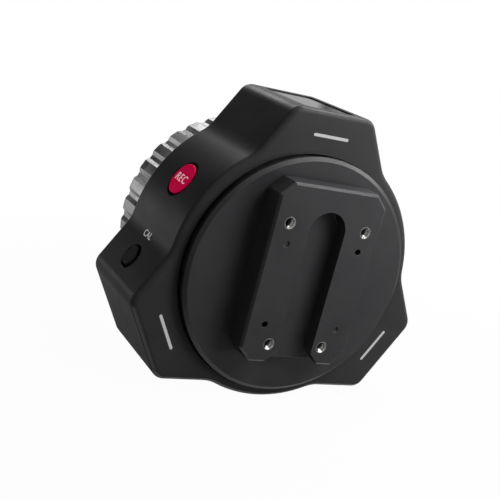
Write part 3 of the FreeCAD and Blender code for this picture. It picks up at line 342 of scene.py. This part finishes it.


# What each finish looks like; lengths are in millimetres. Pitch and depth are the grain's, patch is the size
# of its tone patches, edge the width of a softened, worn and highlighted edge, turned and axial the depth of
# tool lines. Between the two deep distances along outwards, the colour goes over to a darker painted shade.
# The lighter edge colour is wear and a painted highlight, the bevel colour a painted highlight, the low colour
# painted light from below, the shade colour painted shade, and glow a painted light that the part gives off

finishLooks = {
    "housing": {"color": (0.031, 0.031, 0.032), "patchColor": (0.036, 0.036, 0.037), "rough": 0.38,
                "roughSpread": 0.03, "specular": 0.05, "pitch": 0.16, "depth": 0.006, "patch": 14,
                "rubColor": (0.20, 0.20, 0.202), "rub": 0.8, "edge": 0.3,
                "bevelHighlightColor": (0.032, 0.032, 0.033), "bevelCoat": 0.15, "bevelSides": 0.6,
                "lowLightColor": (0.16, 0.16, 0.162)},
    "anodised_black": {"color": (0.032, 0.032, 0.034), "patchColor": (0.037, 0.037, 0.039), "rough": 0.40,
                       "roughSpread": 0.03, "specular": 0.08, "pitch": 0.1, "depth": 0.003, "patch": 10,
                       "rubColor": (0.36, 0.36, 0.365), "rub": 0.9, "edge": 0.28, "turned": 0.0012,
                       "bevelHighlightColor": (0.053, 0.053, 0.055), "bevelCoat": 0.2,
                       "lowLightColor": (0.10, 0.10, 0.102), "shadeColor": (0.009, 0.009, 0.01)},
    "wheel_metal": {"color": (0.20, 0.20, 0.203), "patchColor": (0.23, 0.23, 0.233), "rough": 0.34,
                    "roughSpread": 0.08, "metallic": 1.0, "pitch": 0.09, "depth": 0.003, "patch": 6,
                    "rubColor": (0.5, 0.5, 0.51), "rub": 0.4, "edge": 0.2, "axial": 0.004,
                    "streak": 0.5, "streakColor": (0.12, 0.12, 0.122)},
    "spindle_metal": {"color": (0.55, 0.55, 0.57), "patchColor": (0.62, 0.62, 0.64), "rough": 0.3,
                      "roughSpread": 0.08, "metallic": 1.0, "pitch": 0.08, "depth": 0.002, "patch": 5,
                      "edge": 0.15, "turned": 0.004},
    "steel": {"color": (0.60, 0.60, 0.60), "patchColor": (0.68, 0.68, 0.68), "rough": 0.24,
              "roughSpread": 0.08, "metallic": 1.0, "pitch": 0.08, "depth": 0.002, "patch": 3,
              "edge": 0.1, "turned": 0.003},
    "black_steel": {"color": (0.035, 0.035, 0.037), "patchColor": (0.05, 0.05, 0.052), "rough": 0.38,
                    "roughSpread": 0.08, "metallic": 0.9, "pitch": 0.1, "depth": 0.003, "patch": 2,
                    "rubColor": (0.3, 0.3, 0.3), "rub": 0.5, "edge": 0.12},
    "white_trim": {"color": (0.262, 0.26, 0.257), "patchColor": (0.242, 0.24, 0.237), "rough": 0.45,
                   "roughSpread": 0.06, "specular": 0.1, "glow": 1.0, "pitch": 0.12, "depth": 0.002,
                   "patch": 2.5, "edge": 0.1},
    "marking_white": {"color": (0.80, 0.795, 0.78), "patchColor": (0.74, 0.73, 0.71), "rough": 0.55,
                      "roughSpread": 0.08, "specular": 0.3, "pitch": 0.15, "depth": 0.004, "patch": 7,
                      "edge": 0.2, "turned": 0.003},
    "adhesive": {"color": (0.02, 0.02, 0.02), "patchColor": (0.03, 0.03, 0.03), "rough": 0.8,
                 "roughSpread": 0.1, "pitch": 0.2, "depth": 0.02, "patch": 2, "edge": 0.1},
    "display": {"color": (0.006, 0.007, 0.010), "patchColor": (0.009, 0.010, 0.014), "rough": 0.18,
                "roughSpread": 0.05, "specular": 0.1, "pitch": 0.3, "depth": 0.001, "patch": 8,
                "edge": 0.15},
    "flex": {"color": (0.45, 0.25, 0.05), "patchColor": (0.36, 0.19, 0.04), "rough": 0.3,
             "roughSpread": 0.08, "pitch": 0.25, "depth": 0.004, "patch": 3, "edge": 0.08, "traces": 0.8,
             "traceColor": (0.55, 0.33, 0.09)},
    "board": {"color": (0.010, 0.075, 0.030), "patchColor": (0.008, 0.060, 0.026), "rough": 0.3,
              "roughSpread": 0.08, "pitch": 0.15, "depth": 0.004, "patch": 6, "edge": 0.1, "traces": 1.4,
              "traceColor": (0.025, 0.16, 0.06)},
    "chip": {"color": (0.022, 0.022, 0.023), "patchColor": (0.030, 0.030, 0.031), "rough": 0.55,
             "roughSpread": 0.08, "pitch": 0.07, "depth": 0.006, "patch": 2, "edge": 0.1},
    "shield": {"color": (0.62, 0.61, 0.58), "patchColor": (0.52, 0.52, 0.50), "rough": 0.32,
               "roughSpread": 0.1, "metallic": 1.0, "pitch": 0.1, "depth": 0.003, "patch": 3, "edge": 0.1},
    "battery": {"color": (0.05, 0.11, 0.30), "patchColor": (0.04, 0.09, 0.25), "rough": 0.22,
                "roughSpread": 0.08, "pitch": 3.5, "depth": 0.12, "patch": 9, "edge": 0.5},
    "brass": {"color": (0.66, 0.46, 0.18), "patchColor": (0.56, 0.38, 0.14), "rough": 0.26,
              "roughSpread": 0.08, "metallic": 1.0, "pitch": 0.08, "depth": 0.002, "patch": 3,
              "edge": 0.08, "turned": 0.003},
    "cage": {"color": (0.52, 0.46, 0.33), "patchColor": (0.46, 0.40, 0.28), "rough": 0.5,
             "roughSpread": 0.06, "pitch": 0.12, "depth": 0.004, "patch": 3, "edge": 0.08},
    "felt": {"color": (0.02, 0.02, 0.02), "patchColor": (0.045, 0.045, 0.045), "rough": 0.95,
             "roughSpread": 0.03, "pitch": 0.06, "depth": 0.05, "patch": 0.6, "edge": 0.2},
    "rec_red": {"color": (0.92, 0.004, 0.095), "patchColor": (0.86, 0.004, 0.088), "rough": 0.42,
                "roughSpread": 0.05, "specular": 0.02, "pitch": 0.14, "depth": 0.003, "patch": 4,
                "rubColor": (0.95, 0.16, 0.26), "rub": 0.5, "edge": 0.25, "glow": 0.24,
                # painted shade on the cap's sides below the housing's surface
                "outwards": (0.866, 0, 0.5), "deep": (40.9, 40.5), "deepShadeColor": (0.06, 0.0, 0.008)},
    "button_black": {"color": (0.030, 0.030, 0.031), "patchColor": (0.035, 0.035, 0.036), "rough": 0.4,
                     "roughSpread": 0.05, "specular": 0.02, "pitch": 0.14, "depth": 0.004, "patch": 3,
                     "rubColor": (0.08, 0.08, 0.08), "rub": 0.35, "edge": 0.2},
    "port_metal": {"color": (0.60, 0.59, 0.56), "patchColor": (0.50, 0.49, 0.47), "rough": 0.22,
                   "roughSpread": 0.06, "metallic": 1.0, "pitch": 0.1, "depth": 0.001, "patch": 2,
                   "edge": 0.08},
    "print_white": {"color": (0.90, 0.89, 0.88), "patchColor": (0.82, 0.81, 0.80), "rough": 0.5,
                    "roughSpread": 0.05, "specular": 0.3, "glow": 0.25, "pitch": 0.1, "depth": 0.002,
                    "patch": 0.8, "edge": 0.05},
    "print_pink": {"color": (0.98, 0.74, 0.83), "patchColor": (0.96, 0.68, 0.78), "rough": 0.45,
                   "roughSpread": 0.05, "specular": 0.1, "glow": 0.45, "pitch": 0.1, "depth": 0.002,
                   "patch": 0.8, "edge": 0.05},
    "insert_nickel": {"color": (0.19, 0.188, 0.182), "patchColor": (0.22, 0.218, 0.21), "rough": 0.20,
                      "roughSpread": 0.04, "metallic": 1.0, "pitch": 0.08, "depth": 0.001, "patch": 1,
                      # painted shade darkens the bore
                      "edge": 0.05, "turned": 0.001, "outwards": (0, 1, 0), "deep": (-1.4, -2.2),
                      "deepShadeColor": (0.012, 0.012, 0.012)},
    "contact_gold": {"color": (0.85, 0.60, 0.22), "patchColor": (0.72, 0.50, 0.18), "rough": 0.2,
                     "roughSpread": 0.05, "metallic": 1.0, "pitch": 0.08, "depth": 0.001, "patch": 1,
                     "edge": 0.03},
    "screen_dark": {"color": (0.008, 0.010, 0.016), "patchColor": (0.011, 0.013, 0.020), "rough": 0.12,
                    "roughSpread": 0.03, "specular": 0.1, "pitch": 0.25, "depth": 0.0005, "patch": 6,
                    "edge": 0.1},
}


sharedLook = {"coatRough": 0.3, "linePitch": 0.12, "streakPitch": 0.3, "streakRange": (0.42, 0.62)}


def makeFinish(name, look):
    material, tree, shader = newMaterial("finish_" + name)
    shader.inputs["Metallic"].default_value = look.get("metallic", 0.0)
    shader.inputs["Specular IOR Level"].default_value = look.get("specular", 0.5)
    grain = useGroup(tree, grainGroup, Pitch=look["pitch"] * mm, Patch=look["patch"] * mm)
    edgeMarks = useGroup(tree, edgeWearLightGroup, Radius=look["edge"] * mm, Sides=look.get("bevelSides", 0.0))
    tone = grain.outputs["Tone"]
    color = mixColor(tree, tone, look["color"], look["patchColor"])
    if "traces" in look:
        traces = useGroup(tree, tracesGroup, Pitch=look["traces"] * mm)
        color = mixColor(tree, traces.outputs["Line"], color, look["traceColor"])
    if "streak" in look:
        streaks = useGroup(tree, linesGroup, Pitch=sharedLook["streakPitch"] * mm)
        share = span(tree, streaks.outputs["Axial"], *sharedLook["streakRange"], To_Max=look["streak"])
        color = mixColor(tree, share, color, look["streakColor"])
    # painted shade: the colour darkens with depth in a recess or bore
    if "deep" in look:
        reach = add(tree, "ShaderNodeVectorMath", {"operation": "DOT_PRODUCT"}, in0=objectPoint(tree),
                    in1=look["outwards"])
        starts, full = look["deep"]
        inside = span(tree, reach.outputs["Value"], starts * mm, full * mm)
        color = mixColor(tree, inside, color, look["deepShadeColor"])
    # a coat on back-sloping bevels, and a painted highlight in their colour
    if "bevelHighlightColor" in look:
        bevel = edgeMarks.outputs["Bevel"]
        tree.links.new(maths(tree, "MULTIPLY", bevel, look["bevelCoat"]), shader.inputs["Coat Weight"])
        shader.inputs["Coat Roughness"].default_value = sharedLook["coatRough"]
        color = mixColor(tree, bevel, color, look["bevelHighlightColor"])
        # painted light from below on bevels that face down
        color = mixColor(tree, edgeMarks.outputs["Low"], color, look["lowLightColor"])
    # lighter edges: wear, and a painted highlight on edges that face up or down
    if "rub" in look:
        amount = maths(tree, "MULTIPLY", edgeMarks.outputs["WearHighlight"], look["rub"])
        color = mixColor(tree, amount, color, look["rubColor"])
    # painted shade on what turns to -X and on walls that face down
    if "shadeColor" in look:
        color = mixColor(tree, edgeMarks.outputs["Shade"], color, look["shadeColor"])
    tree.links.new(color, shader.inputs["Base Color"])
    # painted glow: the part gives off light though it is no lamp
    if "glow" in look:
        tree.links.new(color, shader.inputs["Emission Color"])
        shader.inputs["Emission Strength"].default_value = look["glow"]
    rough = span(tree, tone, 0.0, 1.0, To_Min=look["rough"] - look["roughSpread"],
                 To_Max=look["rough"] + look["roughSpread"])
    tree.links.new(rough, shader.inputs["Roughness"])
    height = maths(tree, "MULTIPLY", grain.outputs["Height"], look["depth"] * mm)
    for key, output in (("turned", "Turned"), ("axial", "Axial")):
        if key in look:
            lines = useGroup(tree, linesGroup, Pitch=sharedLook["linePitch"] * mm)
            height = maths(tree, "ADD", height, maths(tree, "MULTIPLY", lines.outputs[output], look[key] * mm))
    bump = add(tree, "ShaderNodeBump", Height=height, Distance=1.0, Normal=edgeMarks.outputs["Normal"])
    tree.links.new(bump.outputs["Normal"], shader.inputs["Normal"])
    return material


glassLook = {"color": (0.055, 0.058, 0.062), "patchColor": (0.075, 0.078, 0.082), "film": (0.03, 0.09),
             "clear": 0.75, "ior": 1.4, "pitch": 0.5, "patch": 9}


# Dark tinted cover glass with a faint film of handling on it
def makeGlass(look):
    material, tree, shader = newMaterial("finish_window_glass")
    shader.inputs["Transmission Weight"].default_value = look["clear"]
    shader.inputs["IOR"].default_value = look["ior"]
    grain = useGroup(tree, grainGroup, Pitch=look["pitch"] * mm, Patch=look["patch"] * mm)
    tone = grain.outputs["Tone"]
    tree.links.new(mixColor(tree, tone, look["color"], look["patchColor"]), shader.inputs["Base Color"])
    cleanest, hazed = look["film"]
    film = span(tree, tone, 0.0, 1.0, To_Min=cleanest, To_Max=hazed)
    tree.links.new(film, shader.inputs["Roughness"])
    return material


finishes = {name: makeFinish(name, look) for name, look in finishLooks.items()}
finishes["window_glass"] = makeGlass(glassLook)
for node in nodes.values():
    slotName = node.material_slots[0].material.name.split(".")[0]
    node.material_slots[0].material = finishes[slotName]
print("finishes:", len(finishes))


# Smooth is the angle, in degrees, below which faces shade as one
def finishPiece(piece, body, finish, smooth=0):
    piece.data.materials.clear()
    piece.data.materials.append(finishes[finish])
    onlySelect(piece)
    if smooth:
        bpy.ops.object.shade_smooth_by_angle(angle=math.radians(smooth))
    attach(piece, body)
    print("piece", piece.name, len(piece.data.polygons), "faces")


# printed words and signs

recWord = {"text": "REC", "width": 6.7, "height": 2.5, "bold": 0.0, "spacing": 1.15, "ink": 0.04,
           "angle": 30.0, "reach": 41.0, "along": 0.0, "y": -28.4}
calWord = {"text": "CAL", "width": 5.6, "height": 2.1, "bold": 0.006, "spacing": 1.0, "ink": 0.03,
           "angle": 30.0, "reach": 37.5, "along": -19.1, "y": -29.4}
printing = {"start": 3.0, "gap": 0.004, "rows": 8, "join": 0.0001}  # rows let a word bend with its surface


# Lays a flat sheet on the node below it, gives it the ink's thickness and fixes its place
def setOnSurface(piece, sign, target):
    place = sidePlace(sign["angle"], sign["reach"] + printing["start"], sign["along"], sign["y"])
    piece.matrix_world = place @ Matrix.Rotation(math.radians(sign.get("turned", 0.0)), 4, "Z")
    applyModifier(piece, "SHRINKWRAP", target=nodes[target], wrap_method="PROJECT",
                  wrap_mode="ABOVE_SURFACE", use_project_z=True, use_negative_direction=True,
                  use_positive_direction=False, offset=printing["gap"] * mm)
    applyModifier(piece, "SOLIDIFY", thickness=sign["ink"] * mm, offset=1.0)
    settle(piece)


def printedWord(name, sign, target, body, finish):
    bpy.ops.object.text_add()
    word = bpy.context.object
    word.name = name
    word.data.body = sign["text"]
    word.data.size = sign["height"] * mm
    word.data.offset = sign["bold"] * sign["height"] * mm
    word.data.space_character = sign["spacing"]
    word.data.align_x = "CENTER"
    word.data.align_y = "CENTER"
    onlySelect(word)
    bpy.ops.object.convert(target="MESH")
    word = bpy.context.object
    xs = [v.co.x for v in word.data.vertices]
    ys = [v.co.y for v in word.data.vertices]
    middle = Vector(((min(xs) + max(xs)) / 2, (min(ys) + max(ys)) / 2, 0))
    word.scale = (sign["width"] * mm / (max(xs) - min(xs)), sign["height"] * mm / (max(ys) - min(ys)), 1)
    word.location = Vector((-middle.x * word.scale.x, -middle.y * word.scale.y, 0))
    settle(word)
    startEdit(word, "VERT")
    bpy.ops.mesh.select_all(action="SELECT")
    bpy.ops.mesh.remove_doubles(threshold=printing["join"] * mm)
    for row in range(1, printing["rows"]):
        bpy.ops.mesh.select_all(action="SELECT")
        cut = sign["height"] * mm * (row / printing["rows"] - 0.5)
        bpy.ops.mesh.bisect(plane_co=(0, cut, 0), plane_no=(0, 1, 0))
    endEdit()
    setOnSurface(word, sign, target)
    finishPiece(word, body, finish)


printedWord("recWord", recWord, "rec_button", "rec_button", "print_pink")
printedWord("calWord", calWord, "main_housing", "hand_unit", "print_white")

# gap is the opening's half angle in degrees, and the bar's middle is sunk into the ring by drop
powerSign = {"radius": 1.35, "stroke": 0.32, "gap": 34.0, "bar": 1.15, "drop": 0.2, "sides": 48, "ink": 0.04,
             "turned": 180.0, "angle": 150.0, "reach": 41.0, "along": 0.0, "y": -28.4}


def makePowerSign(sign):
    bpy.ops.mesh.primitive_circle_add(vertices=sign["sides"], radius=sign["radius"] * mm)
    piece = bpy.context.object
    piece.name = "powerSign"
    startEdit(piece, "EDGE")
    bpy.ops.mesh.select_all(action="SELECT")
    inner = 1 - sign["stroke"] / sign["radius"]
    bpy.ops.mesh.extrude_edges_move()
    bpy.ops.transform.resize(value=(inner, inner, 1))
    half = math.radians(sign["gap"])
    pickFaces(piece, lambda centre: abs(math.atan2(centre.x, centre.y)) < half)
    bpy.ops.mesh.delete(type="FACE")
    barMiddle = (0, (sign["radius"] - sign["drop"]) * mm, 0)
    bpy.ops.mesh.primitive_plane_add(size=1, location=barMiddle)
    bpy.ops.transform.resize(value=(sign["stroke"] * mm, sign["bar"] * mm, 1), center_override=barMiddle)
    bpy.ops.mesh.select_all(action="SELECT")
    bpy.ops.mesh.normals_make_consistent(inside=False)
    endEdit()
    setOnSurface(piece, sign, "power_button")
    finishPiece(piece, "power_button", "print_white")


makePowerSign(powerSign)
print("printed signs done")


# threaded steel inserts in the mounting plate

insertShape = {"outer": 1.8, "root": 1.48, "mouth": 1.65, "crest": 1.25, "land": 0.15, "rim": 0.04,
               "length": 6.0, "sides": 80, "join": 0.001,
               "pitch": 0.5, "turns": 9, "turnSteps": 28, "threadDrop": 0.95, "flank": 0.42, "bite": 0.04,
               "places": ((13.0, 18.5), (-13.0, 18.5), (9.2, -18.5), (-9.2, -18.5))}


# A sleeve standing on the Y axis with its mouth at y = 0, opened out by a chamfer
def makeSleeve(shape):
    bpy.ops.mesh.primitive_circle_add(vertices=shape["sides"], radius=shape["outer"] * mm,
                                      rotation=(math.pi / 2, 0, 0), location=(0, -shape["length"] * mm, 0))
    sleeve = bpy.context.object
    settle(sleeve)
    startEdit(sleeve, "EDGE")
    bpy.ops.mesh.select_all(action="SELECT")
    outer, rim, mouth, crest, root = (shape[key] for key in ("outer", "rim", "mouth", "crest", "root"))
    mouthDrop = mouth - crest
    undercut = root - crest
    # how far each ring is pushed along Y from the one before, and how its width changes
    steps = ((shape["length"] - rim, 1), (rim, (outer - rim) / outer), (0, mouth / (outer - rim)),
             (-mouthDrop, crest / mouth), (-shape["land"], 1), (-undercut, root / crest),
             (mouthDrop + shape["land"] + undercut - shape["length"], 1), (0, outer / root))
    for rise, size in steps:
        bpy.ops.mesh.extrude_edges_move(TRANSFORM_OT_translate={"value": (0, rise * mm, 0)})
        if size != 1:
            bpy.ops.transform.resize(value=(size, 1, size), center_override=(0, 0, 0))
    bpy.ops.mesh.select_all(action="SELECT")
    bpy.ops.mesh.remove_doubles(threshold=shape["join"] * mm)
    bpy.ops.mesh.normals_make_consistent(inside=False)
    endEdit()
    return sleeve


# One helical ridge, a closed three-sided bar wound down the bore. Flank is the half width of its foot in
# pitches, and bite is how far it goes into the sleeve
def makeThread(shape):
    bpy.ops.mesh.primitive_circle_add(vertices=3, radius=shape["crest"] * mm)
    ridge = bpy.context.object
    half = shape["pitch"] * mm * shape["flank"]
    outer = (shape["root"] + shape["bite"]) * mm
    corners = ((shape["crest"] * mm, 0), (outer, half), (outer, -half))
    for vert, (x, y) in zip(ridge.data.vertices, corners):
        vert.co = (x, y, 0)
    steps = shape["turnSteps"] * shape["turns"]
    applyModifier(ridge, "SCREW", axis="Y", angle=math.tau * shape["turns"], steps=steps,
                  render_steps=steps, screw_offset=-shape["pitch"] * shape["turns"] * mm,
                  iterations=1, use_smooth_shade=True)
    startEdit(ridge, "EDGE")
    bpy.ops.mesh.select_non_manifold()
    bpy.ops.mesh.edge_face_add()
    bpy.ops.mesh.select_all(action="SELECT")
    bpy.ops.mesh.normals_make_consistent(inside=False)
    endEdit()
    ridge.location = (0, -shape["threadDrop"] * mm, 0)
    settle(ridge)
    return ridge


def makeInserts(shape):
    sleeve = makeSleeve(shape)
    ridge = makeThread(shape)
    insert = joinPieces([sleeve, ridge], "insert")
    copies = [insert]
    for _ in shape["places"][1:]:
        onlySelect(insert)
        bpy.ops.object.duplicate(linked=False)
        copies.append(bpy.context.object)
    for copy, (x, z) in zip(copies, shape["places"]):
        copy.location = (x * mm, 0, z * mm)
        settle(copy)
    sleeves = joinPieces(copies, "insertSleeves")
    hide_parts("thread_inserts")
    finishPiece(sleeves, "hand_unit", "insert_nickel", smooth=35)


makeInserts(insertShape)


# display area under the glass

screenShape = {"half": (11.6, 6.4), "corner": 0.6, "rim": 0.25, "thickness": 0.06,
               "angle": 90.0, "reach": 47.8, "along": 0.0, "y": -28.7}


def makeScreen(shape):
    bpy.ops.mesh.primitive_plane_add(size=2)
    screen = bpy.context.object
    screen.name = "screenArea"
    screen.scale = (shape["half"][0] * mm, shape["half"][1] * mm, 1)
    settle(screen)
    startEdit(screen, "VERT")
    bpy.ops.mesh.select_all(action="SELECT")
    bpy.ops.mesh.bevel(offset=shape["corner"] * mm, segments=4, affect="VERTICES")
    bpy.ops.mesh.select_all(action="SELECT")
    bpy.ops.mesh.inset(thickness=shape["rim"] * mm, depth=0.0)
    endEdit()
    applyModifier(screen, "SOLIDIFY", thickness=shape["thickness"] * mm, offset=1.0)
    screen.matrix_world = sidePlace(shape["angle"], shape["reach"], shape["along"], shape["y"])
    settle(screen)
    finishPiece(screen, "hand_unit", "screen_dark")


makeScreen(screenShape)


# gold contacts on the charging port's tongue

contactShape = {"count": 6, "pitch": 1.0, "width": 0.5, "length": 3.6, "proud": 0.03, "bevel": 0.012,
                "angle": 210.0, "reach": 46.2, "tongue": 0.35, "y": -28.9}


def makeContacts(shape):
    pads = []
    for side in (-1, 1):
        for index in range(shape["count"]):
            y = shape["y"] + (index - (shape["count"] - 1) / 2) * shape["pitch"]
            bpy.ops.mesh.primitive_cube_add(size=1)
            pad = bpy.context.object
            pad.scale = (shape["width"] * mm, shape["proud"] * 2 * mm, shape["length"] * mm)
            settle(pad)
            applyModifier(pad, "BEVEL", width=shape["bevel"] * mm, segments=2)
            pad.matrix_world = sidePlace(shape["angle"], shape["reach"], side * shape["tongue"], y)
            settle(pad)
            pads.append(pad)
    finishPiece(joinPieces(pads, "portContacts"), "hand_unit", "contact_gold", smooth=30)


makeContacts(contactShape)
print("pieces done")


# floor, backdrop and light

# the shares say how much of the floor is plain white near the object, as seen directly and in reflections
floorLook = {"half": 3.0, "height": -41.05, "color": (0.62, 0.62, 0.62),
             "nearShare": 0.97, "mirrorShare": 0.20, "nearRadius": 0.08, "farRadius": 0.26}


# What the camera sees itself, and what it sees in metal and glass
def seenRays(tree):
    rays = add(tree, "ShaderNodeLightPath").outputs
    return rays["Is Camera Ray"], maths(tree, "MAXIMUM", rays["Is Glossy Ray"], rays["Is Transmission Ray"])


def makeFloor(look):
    bpy.ops.mesh.primitive_plane_add(size=look["half"] * 2, location=(0, 0, look["height"] * mm))
    floor = bpy.context.object
    floor.name = "floor"
    settle(floor)
    material, tree, shader = newMaterial("paleFloor")
    tree.nodes.remove(shader)
    plain = add(tree, "ShaderNodeBsdfDiffuse", Color=(*look["color"], 1.0))
    white = add(tree, "ShaderNodeEmission", Color=(1, 1, 1, 1), Strength=1.0)
    reach = add(tree, "ShaderNodeVectorMath", {"operation": "LENGTH"}, in0=objectPoint(tree)).outputs["Value"]
    shares = [add(tree, "ShaderNodeMapRange", {"interpolation_type": "SMOOTHSTEP"}, Value=reach,
                  From_Min=look["nearRadius"], From_Max=look["farRadius"], To_Min=look[near]).outputs["Result"]
              for near in ("nearShare", "mirrorShare")]
    straight, mirrored = [maths(tree, "MULTIPLY", share, ray) for share, ray in zip(shares, seenRays(tree))]
    amount = maths(tree, "MAXIMUM", straight, mirrored)
    both = add(tree, "ShaderNodeMixShader", in0=amount, in1=plain.outputs[0], in2=white.outputs[0])
    tree.links.new(both.outputs[0], tree.nodes["Material Output"].inputs["Surface"])
    floor.data.materials.append(material)


worldLook = {"ambient": 0.06}  # the world is white where it is seen, and lights the object this much


def makeWorld(look):
    world = bpy.data.worlds.new("studio")
    bpy.context.scene.world = world
    world.use_nodes = True
    tree = world.node_tree
    tree.nodes.clear()
    out = tree.nodes.new("ShaderNodeOutputWorld")
    seen = maths(tree, "MAXIMUM", *seenRays(tree))
    strength = maths(tree, "ADD", look["ambient"], maths(tree, "MULTIPLY", seen, 1.0 - look["ambient"]))
    white = add(tree, "ShaderNodeBackground", Color=(1, 1, 1, 1), Strength=strength)
    tree.links.new(white.outputs[0], out.inputs["Surface"])


# glint lamps only show as reflections
lamps = {
    "rearTop": {"from": (-0.052, 0.078, 0.108), "size": (0.08, 0.08), "watts": 0.17},
    "roofTop": {"from": (-0.06, -0.035, 0.16), "size": (0.10, 0.08), "watts": 0.22},
    "rightRear": {"from": (-0.28, 0.30, 0.04), "size": (0.16, 0.16), "watts": 0.23},
    "rightLow": {"from": (-0.40, 0.30, 0.0), "size": (0.20, 0.06), "watts": 0.48},
    "ridgeGlint": {"from": (-0.03, -0.42, 0.28), "size": (0.14, 0.10), "watts": 0.32},
    "lowGlint": {"from": (0.26, -0.40, -0.01), "size": (0.10, 0.05), "watts": 0.06},
    "edgeGlint": {"from": (-0.275, 0.07, 0.21), "size": (0.16, 0.12), "watts": 0.5, "glint": True},
}
lampAim = (0, -0.025, 0)


def addLamp(name, lamp):
    bpy.ops.object.light_add(type="AREA", location=lamp["from"])
    light = bpy.context.object
    light.name = name
    light.data.shape = "RECTANGLE"
    light.data.size, light.data.size_y = lamp["size"]
    light.data.energy = lamp["watts"]
    aim = Vector(lampAim) - light.location
    light.rotation_euler = aim.to_track_quat("-Z", "Y").to_euler()
    light.visible_camera = False
    light.visible_diffuse = not lamp.get("glint", False)


# A card that faces the object, without a shadow and out of the camera's sight
def standCard(name, card, material):
    bpy.ops.mesh.primitive_plane_add(size=card["size"])
    sheet = bpy.context.object
    sheet.name = name
    aim = -Vector(card["centre"])
    sheet.rotation_euler = aim.to_track_quat("Z", "Y").to_euler()
    sheet.location = card["centre"]
    settle(sheet)
    sheet.data.materials.append(material)
    sheet.visible_camera = False
    sheet.visible_shadow = False
    return sheet


flagCard = {"centre": (0.225, -0.44, 0.20), "size": 0.33, "color": (0.02, 0.02, 0.02),
            "patchColor": (0.03, 0.03, 0.03), "pitch": 2, "patch": 50}


# A dark card off to the side that the grip's flanks and the wheel mirror
def addFlag(card):
    material, tree, shader = newMaterial("flagCloth")
    weave = useGroup(tree, grainGroup, Pitch=card["pitch"] * mm, Patch=card["patch"] * mm)
    tree.links.new(mixColor(tree, weave.outputs["Tone"], card["color"], card["patchColor"]),
                   shader.inputs["Base Color"])
    standCard("flagCard", card, material)


# stops are grey levels across the card, from its -X end to its +X end
skyCard = {"centre": (-0.267, -0.462, 0.131), "size": 0.12, "lit": 1.0,
           "stops": ((0.0, 0.42), (0.30, 0.54), (0.54, 0.54), (0.585, 0.22), (0.61, 0.09), (0.64, 0.16),
                     (0.70, 0.30), (1.0, 0.30))}


# A shaded card that the display's glass mirrors
def addSkyCard(card):
    material, tree, shader = newMaterial("cardShade")
    shader.inputs["Base Color"].default_value = (0, 0, 0, 1)
    across = splitAxes(tree, add(tree, "ShaderNodeTexCoord").outputs["UV"])["X"]
    ramp = add(tree, "ShaderNodeValToRGB", Fac=across)
    stops = ramp.color_ramp.elements
    for place, _ in card["stops"][1:-1]:
        stops.new(place)
    for stop, (place, shade) in zip(stops, card["stops"]):
        stop.position = place
        stop.color = (shade, shade, shade, 1)
    tree.links.new(ramp.outputs["Color"], shader.inputs["Emission Color"])
    shader.inputs["Emission Strength"].default_value = card["lit"]
    sheet = standCard("skyCard", card, material)
    sheet.visible_diffuse = False


makeFloor(floorLook)
makeWorld(worldLook)
for lampName, lamp in lamps.items():
    addLamp(lampName, lamp)
addFlag(flagCard)
addSkyCard(skyCard)
bpy.context.scene.view_settings.view_transform = "Standard"
print("stage and light done")
